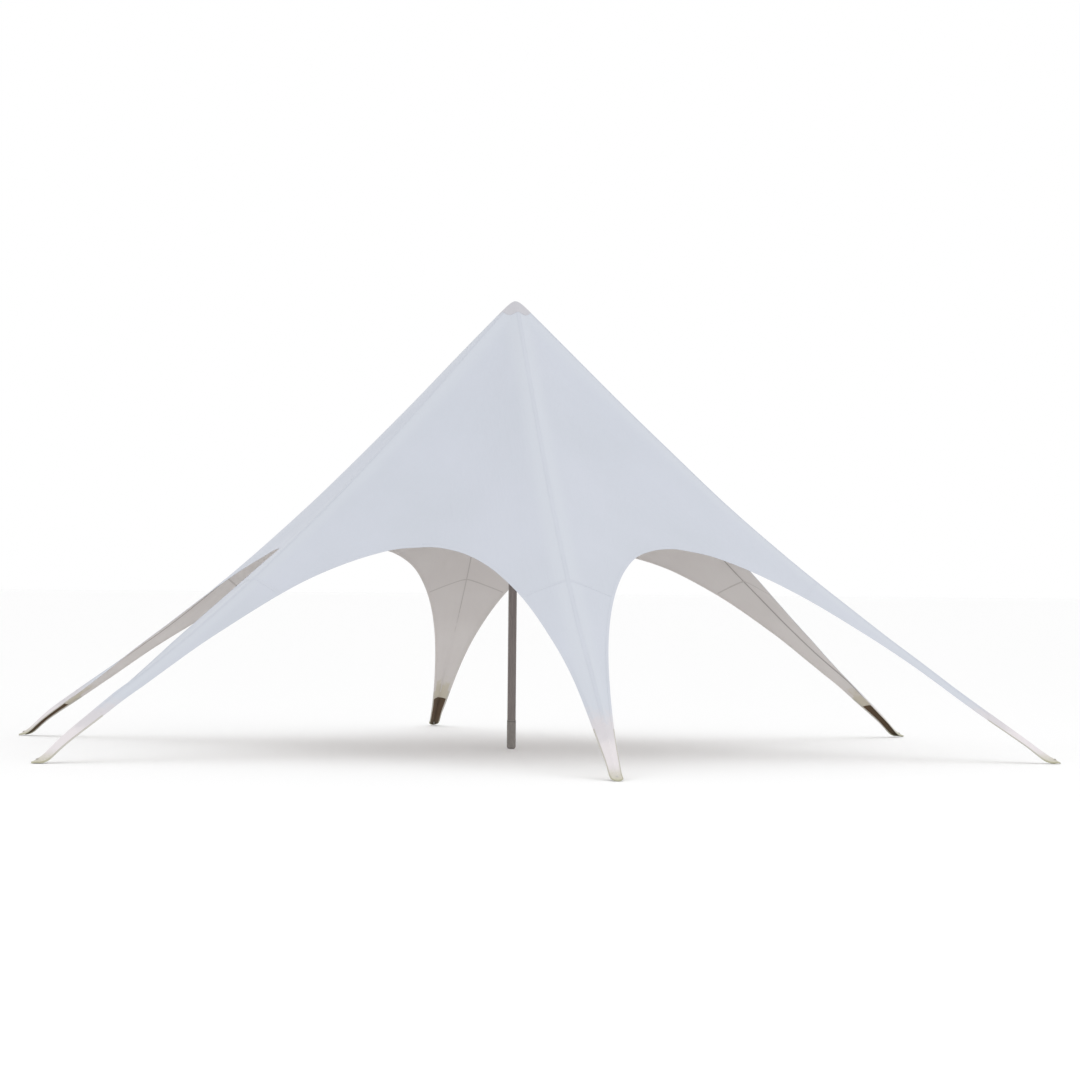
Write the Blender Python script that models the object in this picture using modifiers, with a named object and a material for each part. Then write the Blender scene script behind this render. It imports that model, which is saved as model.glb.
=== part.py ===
"""A star tent: one pole in the middle pushes up a stretched white canopy with six pegged legs.

Metres, +Z up. The origin is the middle of the pole's foot, at ground level. Leg 1 points along -Y, and the
others follow it counterclockwise, seen from above. In plan a point of a leg is given as (along, across): the
distance from the pole's axis along the leg, and the distance sideways from the leg's ridge.
"""

import math

import bmesh
import bpy
from mathutils import Matrix, Vector

# Driving dimensions of the canopy
LEG_COUNT = 6
TIP_RADIUS = 5.02
CONE_TOP = 4.07
APEX_ROUNDING = 0.04
TOP_SLOPE = 0.986
TIP_SLOPE = 0.648
SLOPE_REACH = 5.0
FABRIC = 0.005
GAP = 0.0003

# The dip of the canopy midway between two ridges
DIP_SLOPE = 0.335
DIP_PEAK_RADIUS = 2.1
DIP_FADE = 2.33

# The arch that is cut into the hem between two legs, seen in plan
ARCH_RADIUS = 2.095
ARCH_SPREAD = 0.519
ARCH_POWER = 1.65
ARCH_SOFTNESS = 0.25

# Seams that cross a leg, and the leg's end
CROWN_OPENING = 0.08
CROSS_SEAM = 2.85
TIP_JOINT = 4.25
LINING = 0.003
TIP_HALF_WIDTH = 0.048
TIP_ROUNDING = 0.035

# The leg's end: the flaps fold down beside the ridge, and a flat tongue meets the ground
FOLD_DROP = 0.06
FOLD_START = 3.45
FOLD_LENGTH = 1.0
LIFT = 0.03
LIFT_START = 4.3
LIFT_LENGTH = 0.5
TOUCHDOWN_DROP = 0.075
TOUCHDOWN_START = 4.85
TOUCHDOWN_LENGTH = 0.11
TOUCHDOWN_SOFTNESS = 0.02
TONGUE_HEIGHT = LINING + GAP + FABRIC

# Rows of the meshes. Pieces that lie on each other share their rows, so that their facets agree
CROWN_ROWS = 12
LEG_ROWS = 7
SLOPE_ROWS = 10
NOSE_ROWS = 7
END_ROWS = 4
LINING_FIRST_ROW = 5

# The patch over the apex
CAP = 0.004
CAP_RINGS = (0.008, 0.016, 0.026, 0.036, 0.046, 0.062, 0.088, 0.12, 0.15)

# Pole
POLE_RADIUS = 0.038
POLE_WALL = 0.003
SPIGOT_LENGTH = 0.12
SPIGOT_CLEARANCE = 0.0003
FOOT_HEIGHT = 0.26
FOOT_RADIUS = 0.041
FOOT_FLOOR = 0.012
FOOT_ROUNDING = 0.02
HEAD_SHOULDER = 3.9
SECTION_JOINTS = (1.5, 2.72)
HEAD_RINGS = 5

# Ground pegs, from ground level up
EYELET_ALONG = 4.986
EYELET_RADIUS = 0.0065
PEG_RADIUS = 0.0055
PEG_HEAD_RADIUS = 0.013
PEG_HEAD_HEIGHT = 0.007

HALF_SECTOR = math.pi / LEG_COUNT
ROUND_SIDES = 24


def leg_angle(leg):
    """The bearing of a leg, counted from 0, as an angle from +X."""
    return math.radians(-90) + leg * 2 * HALF_SECTOR


def smooth_step(value):
    """0 below 0, 1 above 1, and a smooth rise between."""
    held = min(max(value, 0.0), 1.0)
    return held * held * (3 - 2 * held)


def soft_maximum(first, second, softness):
    """The larger of two heights, with the corner between them rounded."""
    overlap = max(softness - abs(first - second), 0.0) / softness
    return max(first, second) + overlap * overlap * softness / 4


def dip(radius):
    """How far the canopy hangs below a ridge, midway between two ridges."""
    return DIP_SLOPE * radius / (1 + (radius / DIP_PEAK_RADIUS) ** DIP_FADE)


def canopy_height(along, across):
    """The height of the canopy's upper face over a point of a leg's own half sectors."""
    radius = math.hypot(along, across)
    bearing = math.atan2(abs(across), along)
    rounded = math.hypot(radius, APEX_ROUNDING)
    height = CONE_TOP - TOP_SLOPE * rounded
    height += (TOP_SLOPE - TIP_SLOPE) * rounded * rounded / (2 * SLOPE_REACH)
    height -= dip(radius) * math.sin(math.pi / 2 * bearing / HALF_SECTOR)
    if along > FOLD_START:
        fold = FOLD_DROP * smooth_step((along - FOLD_START) / FOLD_LENGTH)
        height -= fold * abs(across) / leg_half_width(along)
    height += LIFT * smooth_step((along - LIFT_START) / LIFT_LENGTH)
    height -= TOUCHDOWN_DROP * smooth_step((along - TOUCHDOWN_START) / TOUCHDOWN_LENGTH)
    return soft_maximum(height, TONGUE_HEIGHT, TOUCHDOWN_SOFTNESS)


def steepness(along, across):
    """How tall a sheet stands that is 1 thick across its faces. Near the ground it keeps clear of it."""
    step = 0.001
    inner = max(abs(across) - step, 0.0)
    outer = inner + 2 * step
    slope_along = canopy_height(along + step, across) - canopy_height(along - step, across)
    slope_across = canopy_height(along, outer) - canopy_height(along, inner)
    upright = math.hypot(1, math.hypot(slope_along, slope_across) / (2 * step))
    return min(upright, canopy_height(along, across) / TONGUE_HEIGHT)


def hem_point(sideways):
    """A point of the hem's arch as (along, across) of the nearer leg, from its distance off the arch's middle."""
    reach = math.hypot(sideways, ARCH_SOFTNESS) ** ARCH_POWER - ARCH_SOFTNESS**ARCH_POWER
    outward = ARCH_RADIUS + ARCH_SPREAD * reach
    cos, sin = math.cos(HALF_SECTOR), math.sin(HALF_SECTOR)
    return outward * cos + sideways * sin, outward * sin - sideways * cos


def arch_offset_at(along):
    """How far off the arch's middle the hem is where it passes this distance along the leg."""
    low, high = 0.0, TIP_RADIUS
    for _ in range(40):
        middle = (low + high) / 2
        if hem_point(middle)[0] < along:
            low = middle
        else:
            high = middle
    return low


def leg_half_width(along):
    """Half the leg's width. The hem's arch narrows it, the tongue keeps its own width, and its end is round."""
    width = soft_maximum(hem_point(arch_offset_at(along))[1], TIP_HALF_WIDTH, TIP_HALF_WIDTH / 2)
    into_end = (along - (TIP_RADIUS - TIP_ROUNDING)) / TIP_ROUNDING
    return width * math.sqrt(1 - min(max(into_end, 0.0), 0.92) ** 2)


def evenly(start, end, steps):
    """Distances from start to end, both included."""
    return [start + (end - start) * step / steps for step in range(steps + 1)]


def crown_rows():
    return evenly(CROWN_OPENING, CROSS_SEAM - GAP / 2, CROWN_ROWS)


def leg_rows():
    return evenly(CROSS_SEAM + GAP / 2, TIP_JOINT - GAP / 2, LEG_ROWS)


def tip_rows():
    """The rows are close together where the leg bends to the ground, and around its end."""
    slope = evenly(TIP_JOINT + GAP / 2, TOUCHDOWN_START, SLOPE_ROWS)
    nose = evenly(TOUCHDOWN_START, TIP_RADIUS - TIP_ROUNDING, NOSE_ROWS)
    turns = [math.radians(90 * step / END_ROWS) for step in range(1, END_ROWS + 1)]
    end = [TIP_RADIUS - TIP_ROUNDING * (1 - math.sin(turn)) for turn in turns]
    return slope + nose[1:] + end


def in_plan(leg, along, across, height):
    """A point of a leg, in the tent's own frame."""
    return Matrix.Rotation(leg_angle(leg), 4, "Z") @ Vector((along, across, height))


def material(name, colour, roughness, metallic=0.0):
    made = bpy.data.materials.new(name)
    made.use_nodes = True
    shader = made.node_tree.nodes["Principled BSDF"]
    shader.inputs["Base Color"].default_value = (*colour, 1)
    shader.inputs["Roughness"].default_value = roughness
    shader.inputs["Metallic"].default_value = metallic
    return made


def add_object(name, mesh, finish, collection):
    mesh.materials.append(finish)
    made = bpy.data.objects.new(name, mesh)
    collection.objects.link(made)
    return made


def mesh_object(name, mesh_data, finish, collection):
    bmesh.ops.recalc_face_normals(mesh_data, faces=mesh_data.faces)
    mesh = bpy.data.meshes.new(name)
    mesh_data.to_mesh(mesh)
    mesh_data.free()
    mesh.shade_smooth()
    mesh.set_sharp_from_angle(angle=math.radians(40))
    return add_object(name, mesh, finish, collection)


def thicken(mesh_data, depth, thickness):
    """Gives a surface a second face, straight below it by the thickness, or above it if that is negative."""
    second = bmesh.ops.extrude_face_region(mesh_data, geom=mesh_data.faces[:])["geom"]
    for vertex in second:
        if isinstance(vertex, bmesh.types.BMVert):
            vertex.co.z -= thickness * vertex[depth]


def sheet(name, columns, rows, place, thickness, finish, collection):
    """A sheet whose upper face follows place(column, row), which gives a point and the steepness there."""
    mesh_data = bmesh.new()
    bmesh.ops.create_grid(mesh_data, x_segments=columns, y_segments=rows, size=0.5)
    depth = mesh_data.verts.layers.float.new("depth")
    for vertex in mesh_data.verts:
        column = round((vertex.co.x + 0.5) * columns)
        row = round((0.5 - vertex.co.y) * rows)
        vertex.co, vertex[depth] = place(column, row)
    thicken(mesh_data, depth, thickness)
    return mesh_object(name, mesh_data, finish, collection)


def canopy_panel(leg, finish, collection):
    """One gore of the crown, from the ridge of this leg to the ridge of the next, with the arch cut into its foot."""
    columns, seam_columns = 20, 2
    seam_offset = arch_offset_at(CROSS_SEAM)
    seam_across = hem_point(seam_offset)[1]

    def foot(from_ridge):
        if from_ridge < seam_columns:
            return CROSS_SEAM - GAP / 2, seam_across * from_ridge / seam_columns
        share = (from_ridge - seam_columns) / (columns / 2 - seam_columns)
        along, across = hem_point(seam_offset * (1 - share))
        return along - GAP / 2 * (1 - share), across

    def place(column, row):
        on_first_leg = column <= columns / 2
        from_ridge = column if on_first_leg else columns - column
        foot_along, foot_across = foot(from_ridge)
        down = crown_rows()[row] / crown_rows()[-1]
        along, across = foot_along * down, foot_across * down
        height, upright = canopy_height(along, across), steepness(along, across)
        owner, side = (leg, 1) if on_first_leg else (leg + 1, -1)
        return in_plan(owner, along, side * max(across, GAP / 2), height), upright

    name = f"canopy_panel_{leg + 1}"
    return sheet(name, columns, CROWN_ROWS, place, FABRIC, finish, collection)


def leg_sheet(name, leg, rows, below, thickness, finish, collection):
    """A sheet along a leg, both sides of the ridge. Its upper face is this far below the canopy's."""
    columns = 4

    def place(column, row):
        along = rows[row]
        across = (2 * column / columns - 1) * leg_half_width(along)
        upright = steepness(along, across)
        height = canopy_height(along, across) - below * upright
        return in_plan(leg, along, across, height), upright

    return sheet(name, columns, len(rows) - 1, place, thickness, finish, collection)


def leg_panel(leg, finish, collection):
    """The strip of canopy from the seam that crosses the leg down to its reinforced end."""
    name = f"leg_panel_{leg + 1}"
    return leg_sheet(name, leg, leg_rows(), 0.0, FABRIC, finish, collection)


def leg_tip(leg, finish, collection):
    """The doubled white end of a leg, with the tongue that lies on the ground."""
    name = f"leg_tip_{leg + 1}"
    return leg_sheet(name, leg, tip_rows(), 0.0, FABRIC, finish, collection)


def tip_lining(leg, finish, collection):
    """The dark brown lining under a leg's end."""
    name = f"tip_lining_{leg + 1}"
    rows = tip_rows()[LINING_FIRST_ROW:-1]
    return leg_sheet(name, leg, rows, FABRIC + GAP, LINING, finish, collection)


def apex_cap(finish, collection):
    """The patch over the apex. It is a disc in plan, and lies on the six panels and on the pole's head."""
    mesh_data = bmesh.new()
    sides = 6 * LEG_COUNT
    centre = mesh_data.verts.new((0, 0, 0))
    inner = None
    for radius in CAP_RINGS:
        ring = []
        for side in range(sides):
            turn = 2 * math.pi * side / sides
            ring.append(mesh_data.verts.new((radius * math.cos(turn), radius * math.sin(turn), 0)))
        for side in range(sides):
            after = (side + 1) % sides
            if inner:
                mesh_data.faces.new((inner[side], ring[side], ring[after], inner[after]))
            else:
                mesh_data.faces.new((centre, ring[side], ring[after]))
        inner = ring
    depth = mesh_data.verts.layers.float.new("depth")
    for vertex in mesh_data.verts:
        turn = math.atan2(vertex.co.y, vertex.co.x) - leg_angle(0)
        off_ridge = turn - 2 * HALF_SECTOR * round(turn / (2 * HALF_SECTOR))
        along, across = vertex.co.xy.length * math.cos(off_ridge), vertex.co.xy.length * math.sin(off_ridge)
        vertex[depth] = steepness(along, across)
        vertex.co.z = canopy_height(along, across) + GAP * vertex[depth]
    thicken(mesh_data, depth, -CAP)
    return mesh_object("apex_cap", mesh_data, finish, collection)


def turned(name, profile, finish, collection, centre=(0.0, 0.0)):
    """A piece turned about an upright axis. The profile runs from the top down its outer side."""
    mesh_data = bmesh.new()
    points = [mesh_data.verts.new((radius, 0, height)) for radius, height in profile]
    for first, second in zip(points, points[1:]):
        mesh_data.edges.new((first, second))
    if profile[0][0] > 0:
        mesh_data.edges.new((points[-1], points[0]))
    mesh = bpy.data.meshes.new(name)
    mesh_data.to_mesh(mesh)
    mesh_data.free()
    made = add_object(name, mesh, finish, collection)
    made.location = (*centre, 0)
    screw = made.modifiers.new("turn", "SCREW")
    screw.steps = screw.render_steps = ROUND_SIDES
    screw.use_merge_vertices = True
    screw.merge_threshold = 0.00001
    screw.use_smooth_shade = True
    return made


def pole_section(name, bottom, top, spigot, finish, collection):
    """A tube of the pole. Its narrower upper end, the spigot, slides into the section above."""
    inner = POLE_RADIUS - POLE_WALL
    if not spigot:
        profile = [(POLE_RADIUS, top), (POLE_RADIUS, bottom), (inner, bottom), (inner, top)]
        return turned(name, profile, finish, collection)
    neck = inner - SPIGOT_CLEARANCE
    spigot_top = top + SPIGOT_LENGTH
    profile = [
        (neck, spigot_top),
        (neck, top),
        (POLE_RADIUS, top),
        (POLE_RADIUS, bottom),
        (inner, bottom),
        (inner, top - SPIGOT_LENGTH / 4),
        (neck - POLE_WALL, top),
        (neck - POLE_WALL, spigot_top),
    ]
    return turned(name, profile, finish, collection)


def pole_foot(finish, collection):
    """The rubber boot that the pole stands in, with a rounded rim at the ground."""
    seat = POLE_RADIUS + GAP
    profile = [(0, FOOT_FLOOR), (seat, FOOT_FLOOR), (seat, FOOT_HEIGHT), (FOOT_RADIUS, FOOT_HEIGHT)]
    for step in range(7):
        turn = math.radians(90 * step / 6)
        radius = FOOT_RADIUS - FOOT_ROUNDING * (1 - math.cos(turn))
        profile.append((radius, FOOT_ROUNDING * (1 - math.sin(turn))))
    profile.append((0, 0))
    return turned("pole_foot", profile, finish, collection)


def pole_head(finish, collection):
    """The domed plug that closes the pole and carries the canopy's apex."""
    plug = POLE_RADIUS - POLE_WALL - SPIGOT_CLEARANCE
    profile = []
    for radius in (0.0, *CAP_RINGS[:HEAD_RINGS]):
        valley = canopy_height(radius * math.cos(HALF_SECTOR), radius * math.sin(HALF_SECTOR))
        profile.append((radius, valley - GAP))
    profile += [
        (CAP_RINGS[HEAD_RINGS - 1], HEAD_SHOULDER + 0.02),
        (POLE_RADIUS, HEAD_SHOULDER + GAP),
        (plug, HEAD_SHOULDER + GAP),
        (plug, HEAD_SHOULDER - SPIGOT_LENGTH),
        (0, HEAD_SHOULDER - SPIGOT_LENGTH),
    ]
    return turned("pole_head", profile, finish, collection)


def ground_peg(leg, finish, collection):
    """The head and the top of the shank of a ground peg, cut off at ground level."""
    top = TONGUE_HEIGHT + GAP + PEG_HEAD_HEIGHT
    seat = TONGUE_HEIGHT + GAP
    profile = [
        (0, top),
        (PEG_HEAD_RADIUS * 0.7, top - PEG_HEAD_HEIGHT * 0.15),
        (PEG_HEAD_RADIUS, top - PEG_HEAD_HEIGHT * 0.6),
        (PEG_HEAD_RADIUS, seat),
        (PEG_RADIUS, seat),
        (PEG_RADIUS, 0),
        (0, 0),
    ]
    place = in_plan(leg, EYELET_ALONG, 0, 0)
    return turned(f"ground_peg_{leg + 1}", profile, finish, collection, (place.x, place.y))


def eyelet_cutter(leg, collection):
    """The hole through a leg's tongue that the peg goes through."""
    mesh_data = bmesh.new()
    bmesh.ops.create_cone(
        mesh_data,
        cap_ends=True,
        segments=20,
        radius1=EYELET_RADIUS,
        radius2=EYELET_RADIUS,
        depth=0.1,
        matrix=Matrix.Translation(in_plan(leg, EYELET_ALONG, 0, 0)),
    )
    mesh = bpy.data.meshes.new(f"eyelet_cutter_{leg + 1}")
    mesh_data.to_mesh(mesh)
    mesh_data.free()
    cutter = bpy.data.objects.new(mesh.name, mesh)
    collection.objects.link(cutter)
    cutter.hide_render = True
    cutter.display_type = "WIRE"
    return cutter


def cut(target, cutter):
    hole = target.modifiers.new("eyelet", "BOOLEAN")
    hole.operation = "DIFFERENCE"
    hole.solver = "EXACT"
    hole.object = cutter


def main():
    for old in list(bpy.data.objects):
        bpy.data.objects.remove(old)
    tent = bpy.data.collections.new("star_tent")
    cutters = bpy.data.collections.new("cutters")
    bpy.context.scene.collection.children.link(tent)
    bpy.context.scene.collection.children.link(cutters)

    canopy_white = material("canopy_white", (0.82, 0.83, 0.86), 0.75)
    tip_white = material("tip_white", (0.83, 0.81, 0.8), 0.7)
    lining_brown = material("lining_brown", (0.09, 0.065, 0.045), 0.85)
    pole_grey = material("pole_grey", (0.36, 0.34, 0.34), 0.45, 0.8)
    foot_grey = material("foot_grey", (0.33, 0.31, 0.31), 0.7)
    peg_steel = material("peg_steel", (0.55, 0.55, 0.54), 0.4, 1.0)

    for leg in range(LEG_COUNT):
        canopy_panel(leg, canopy_white, tent)
        leg_panel(leg, canopy_white, tent)
        cutter = eyelet_cutter(leg, cutters)
        cut(leg_tip(leg, tip_white, tent), cutter)
        cut(tip_lining(leg, lining_brown, tent), cutter)
        ground_peg(leg, peg_steel, tent)
    apex_cap(tip_white, tent)

    lower_joint, upper_joint = SECTION_JOINTS
    pole_foot(foot_grey, tent)
    pole_section("pole_lower_section", FOOT_FLOOR + GAP, lower_joint, True, pole_grey, tent)
    pole_section("pole_middle_section", lower_joint + GAP, upper_joint, True, pole_grey, tent)
    pole_section("pole_upper_section", upper_joint + GAP, HEAD_SHOULDER, False, pole_grey, tent)
    pole_head(pole_grey, tent)


main()
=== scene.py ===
# %% [markdown]
# # A star tent
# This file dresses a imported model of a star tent. One pole in the middle pushes up a white canopy, and the canopy
# runs down in six long legs that are pegged to the ground. The fabric is stretched tight between the top and the
# pegs, so its form follows from a few numbers. The lesson builds the canopy from a formula, sews its seams, hems
# and stitches onto it, and then gives the cloth, the pole and the small metal pieces their finishes.

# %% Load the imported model
import math

import bpy
import numpy as np
from mathutils import Matrix, Vector, noise
from mathutils.bvhtree import BVHTree
from mathutils.interpolate import poly_3d_calc


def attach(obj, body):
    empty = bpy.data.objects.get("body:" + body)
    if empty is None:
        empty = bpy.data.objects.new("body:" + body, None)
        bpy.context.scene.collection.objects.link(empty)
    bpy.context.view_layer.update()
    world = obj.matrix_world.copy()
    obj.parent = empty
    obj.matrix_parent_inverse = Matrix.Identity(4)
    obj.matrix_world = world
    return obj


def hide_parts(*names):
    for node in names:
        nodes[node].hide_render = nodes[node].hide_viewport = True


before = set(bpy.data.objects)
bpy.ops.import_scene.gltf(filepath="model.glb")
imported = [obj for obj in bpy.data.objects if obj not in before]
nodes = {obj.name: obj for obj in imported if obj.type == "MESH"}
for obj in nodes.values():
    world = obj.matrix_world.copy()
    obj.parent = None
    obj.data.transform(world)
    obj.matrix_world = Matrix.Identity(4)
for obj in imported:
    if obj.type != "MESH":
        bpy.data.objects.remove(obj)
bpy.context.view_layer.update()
LEGS = range(1, 7)
print("nodes in the model:", len(nodes))

# %% [markdown]
# ## The camera
# The photograph was taken from about 31.6 m away at the height of a person's eyes, with a long lens. Leg 1 points
# towards the viewer, a little to the right. The camera could be aimed with a Track To constraint, but its exact
# turn, tilt and roll are known here, so its matrix is put together from them.

# %% Place the camera
VIEW_TURN = math.radians(9.1839)
CAMERA_DISTANCE = 31.595
EYE_HEIGHT = 1.546
CAMERA_YAW = 0.00767
CAMERA_PITCH = 0.01088
CAMERA_ROLL = 0.00954
FOCAL_PIXELS = 3493.6
IMAGE_PIXELS = 1080

camera = bpy.data.objects.new("camera", bpy.data.cameras.new("camera"))
bpy.context.scene.collection.objects.link(camera)
camera.data.sensor_fit = "HORIZONTAL"
camera.data.sensor_width = 36
camera.data.lens = 36 * FOCAL_PIXELS / IMAGE_PIXELS
camera.data.clip_end = 500
camera.matrix_world = (
    Matrix.Rotation(-VIEW_TURN, 4, "Z")
    @ Matrix.Translation((0, -CAMERA_DISTANCE, EYE_HEIGHT))
    @ Matrix.Rotation(-CAMERA_YAW, 4, "Z")
    @ Matrix.Rotation(math.pi / 2 + CAMERA_PITCH, 4, "X")
    @ Matrix.Rotation(CAMERA_ROLL, 4, "Z")
)
bpy.context.scene.camera = camera
print("camera at", [round(v, 2) for v in camera.matrix_world.translation])

# %% [markdown]
# ## Helpers for node trees
# Both materials and Geometry Nodes are trees of nodes. Two small helpers keep the trees readable: one adds a node
# and fills or links its sockets, the other adds one step of arithmetic.


# %% Add nodes and arithmetic
def put(tree, kind, inputs=(), **settings):
    """Adds a node. A number fills a socket, and another node's output is linked to it."""
    node = tree.nodes.new(kind)
    for name, value in settings.items():
        setattr(node, name, value)
    pairs = inputs.items() if isinstance(inputs, dict) else enumerate(inputs)
    for key, value in pairs:
        if isinstance(value, bpy.types.NodeSocket):
            tree.links.new(value, node.inputs[key])
        elif value is not None:
            node.inputs[key].default_value = value
    return node


def calc(tree, operation, *values):
    return put(tree, "ShaderNodeMath", values, operation=operation).outputs[0]


def add_socket(tree, name, kind, side, value=None):
    socket = tree.interface.new_socket(name, in_out=side, socket_type=f"NodeSocket{kind}")
    if value is not None:
        socket.default_value = value
    return socket


# %% [markdown]
# ## Finishes that several materials share
# Coated canvas shows a fine weave up close, soft creases along the pull, and a little dirt. Each of these effects
# is a shader node group with named inputs. Threads run along the cloth's own UV map, which is in metres, so they
# follow the fabric down every leg. Stains read Object coordinates, because weather does not follow the cloth.


# %% The weave group
def weave_group():
    tree = bpy.data.node_groups.new("weave", "ShaderNodeTree")
    add_socket(tree, "Threads per metre", "Float", "INPUT", 900.0)
    add_socket(tree, "Height", "Float", "OUTPUT")
    given = put(tree, "NodeGroupInput").outputs
    uv = put(tree, "ShaderNodeUVMap", uv_map="cloth").outputs[0]
    axes = put(tree, "ShaderNodeSeparateXYZ", [uv])
    turns = calc(tree, "MULTIPLY", given[0], math.pi)
    warp = calc(tree, "SINE", calc(tree, "MULTIPLY", axes.outputs[0], turns))
    weft = calc(tree, "SINE", calc(tree, "MULTIPLY", axes.outputs[1], turns))
    height = calc(tree, "MAXIMUM", calc(tree, "ABSOLUTE", warp), calc(tree, "ABSOLUTE", weft))
    put(tree, "NodeGroupOutput", [height])
    return tree


# %% The crease group
def crease_group():
    tree = bpy.data.node_groups.new("creases", "ShaderNodeTree")
    add_socket(tree, "Across scale", "Float", "INPUT", 9.0)
    add_socket(tree, "Along scale", "Float", "INPUT", 0.7)
    add_socket(tree, "Height", "Float", "OUTPUT")
    given = put(tree, "NodeGroupInput").outputs
    uv = put(tree, "ShaderNodeUVMap", uv_map="cloth").outputs[0]
    axes = put(tree, "ShaderNodeSeparateXYZ", [uv])
    across = calc(tree, "MULTIPLY", axes.outputs[0], given[0])
    along = calc(tree, "MULTIPLY", axes.outputs[1], given[1])
    place = put(tree, "ShaderNodeCombineXYZ", [across, along, 0.0]).outputs[0]
    folds = put(tree, "ShaderNodeTexNoise", {"Vector": place, "Scale": 1.0, "Detail": 4.0})
    put(tree, "NodeGroupOutput", [folds.outputs[0]])
    return tree


# %% The stain group
def stain_group():
    tree = bpy.data.node_groups.new("stains", "ShaderNodeTree")
    add_socket(tree, "Patch scale", "Float", "INPUT", 1.2)
    add_socket(tree, "Ground height", "Float", "INPUT", 0.12)
    add_socket(tree, "Patches", "Float", "OUTPUT")
    add_socket(tree, "Ground dirt", "Float", "OUTPUT")
    given = put(tree, "NodeGroupInput").outputs
    place = put(tree, "ShaderNodeTexCoord").outputs["Object"]
    patches = put(tree, "ShaderNodeTexNoise", {"Vector": place, "Scale": given[0], "Detail": 5.0})
    specks = put(tree, "ShaderNodeTexNoise", {"Vector": place, "Scale": 60.0, "Detail": 3.0})
    height = put(tree, "ShaderNodeSeparateXYZ", [place]).outputs[2]
    low = calc(tree, "SUBTRACT", 1.0, calc(tree, "DIVIDE", height, given[1]))
    low = calc(tree, "MULTIPLY", calc(tree, "MAXIMUM", low, 0.0), specks.outputs[0])
    put(tree, "NodeGroupOutput", [patches.outputs[0], low])
    return tree


# %% The scuff group
def scuff_group():
    tree = bpy.data.node_groups.new("scuffs", "ShaderNodeTree")
    add_socket(tree, "Length scale", "Float", "INPUT", 4.0)
    add_socket(tree, "Girth scale", "Float", "INPUT", 90.0)
    add_socket(tree, "Scuffs", "Float", "OUTPUT")
    given = put(tree, "NodeGroupInput").outputs
    axes = put(tree, "ShaderNodeSeparateXYZ", [put(tree, "ShaderNodeTexCoord").outputs["Object"]])
    parts = [calc(tree, "MULTIPLY", axes.outputs[i], given[1]) for i in (0, 1)]
    parts.append(calc(tree, "MULTIPLY", axes.outputs[2], given[0]))
    place = put(tree, "ShaderNodeCombineXYZ", parts).outputs[0]
    marks = put(tree, "ShaderNodeTexNoise", {"Vector": place, "Scale": 1.0, "Detail": 6.0})
    put(tree, "NodeGroupOutput", [marks.outputs[0]])
    return tree


# %% [markdown]
# Two masks colour the cloth by its place. One fades in towards the ground, where the leg ends turn cream and the
# grass leaves its green. The other marks a soft band along every ridge for a painted highlight, where light falls
# on the rounded ridge.


# %% The fade group
def fade_group():
    tree = bpy.data.node_groups.new("ground_fade", "ShaderNodeTree")
    add_socket(tree, "Starts at", "Float", "INPUT", 0.5)
    add_socket(tree, "Full at", "Float", "INPUT", 0.2)
    add_socket(tree, "Mask", "Float", "OUTPUT")
    given = put(tree, "NodeGroupInput").outputs
    place = put(tree, "ShaderNodeTexCoord").outputs["Object"]
    wobble = put(tree, "ShaderNodeTexNoise", {"Vector": place, "Scale": 14.0, "Detail": 3.0}).outputs[0]
    wobble = calc(tree, "MULTIPLY", calc(tree, "SUBTRACT", wobble, 0.5), calc(tree, "MULTIPLY", given[0], 0.35))
    height = calc(tree, "ADD", put(tree, "ShaderNodeSeparateXYZ", [place]).outputs[2], wobble)
    mask = put(tree, "ShaderNodeMapRange", [height, given[1], given[0], 1.0, 0.0], interpolation_type="SMOOTHSTEP")
    put(tree, "NodeGroupOutput", [mask.outputs[0]])
    return tree


# %% The painted ridge highlight group
def ridge_highlight_group():
    tree = bpy.data.node_groups.new("painted_ridge_highlight", "ShaderNodeTree")
    add_socket(tree, "Half width", "Float", "INPUT", 0.05)
    add_socket(tree, "Fade width", "Float", "INPUT", 0.17)
    add_socket(tree, "Mask", "Float", "OUTPUT")
    given = put(tree, "NodeGroupInput").outputs
    uv = put(tree, "ShaderNodeUVMap", uv_map="cloth").outputs[0]
    across = calc(tree, "ABSOLUTE", put(tree, "ShaderNodeSeparateXYZ", [uv]).outputs[0])
    mask = put(tree, "ShaderNodeMapRange", [across, given[0], given[1], 1.0, 0.0], interpolation_type="SMOOTHSTEP")
    put(tree, "NodeGroupOutput", [mask.outputs[0]])
    return tree


WEAVE, CREASES, STAINS, SCUFFS = weave_group(), crease_group(), stain_group(), scuff_group()
FADE, RIDGE_HIGHLIGHT = fade_group(), ridge_highlight_group()
print("shared effects:", len(bpy.data.node_groups))

# %% [markdown]
# ## The materials
# The photograph shows a bluish white outside, a warm grey inside, warmer white leg ends with a dark brown lining,
# and a dark warm grey pole. Every cloth is the same recipe with its own values: a base colour that the stains vary,
# and a bump made of weave and creases. One function writes the recipe, and the differences are its arguments.


# %% The cloth recipe
def group(tree, made, **values):
    """Places a shared effect in a material and sets its named inputs."""
    node = put(tree, "ShaderNodeGroup", node_tree=made)
    for name, value in values.items():
        node.inputs[name.replace("_", " ")].default_value = value
    return node


def between(tree, factor, first, second):
    """A colour between two others."""
    mix = put(tree, "ShaderNodeMix", data_type="RGBA")
    tree.links.new(factor, mix.inputs[0])
    for socket, colour in ((mix.inputs[6], first), (mix.inputs[7], second)):
        if isinstance(colour, bpy.types.NodeSocket):
            tree.links.new(colour, socket)
        else:
            socket.default_value = (*colour, 1)
    return mix.outputs[2]


def new_material(name):
    made = bpy.data.materials.new(name)
    made.use_nodes = True
    return made, made.node_tree, made.node_tree.nodes["Principled BSDF"]


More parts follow.
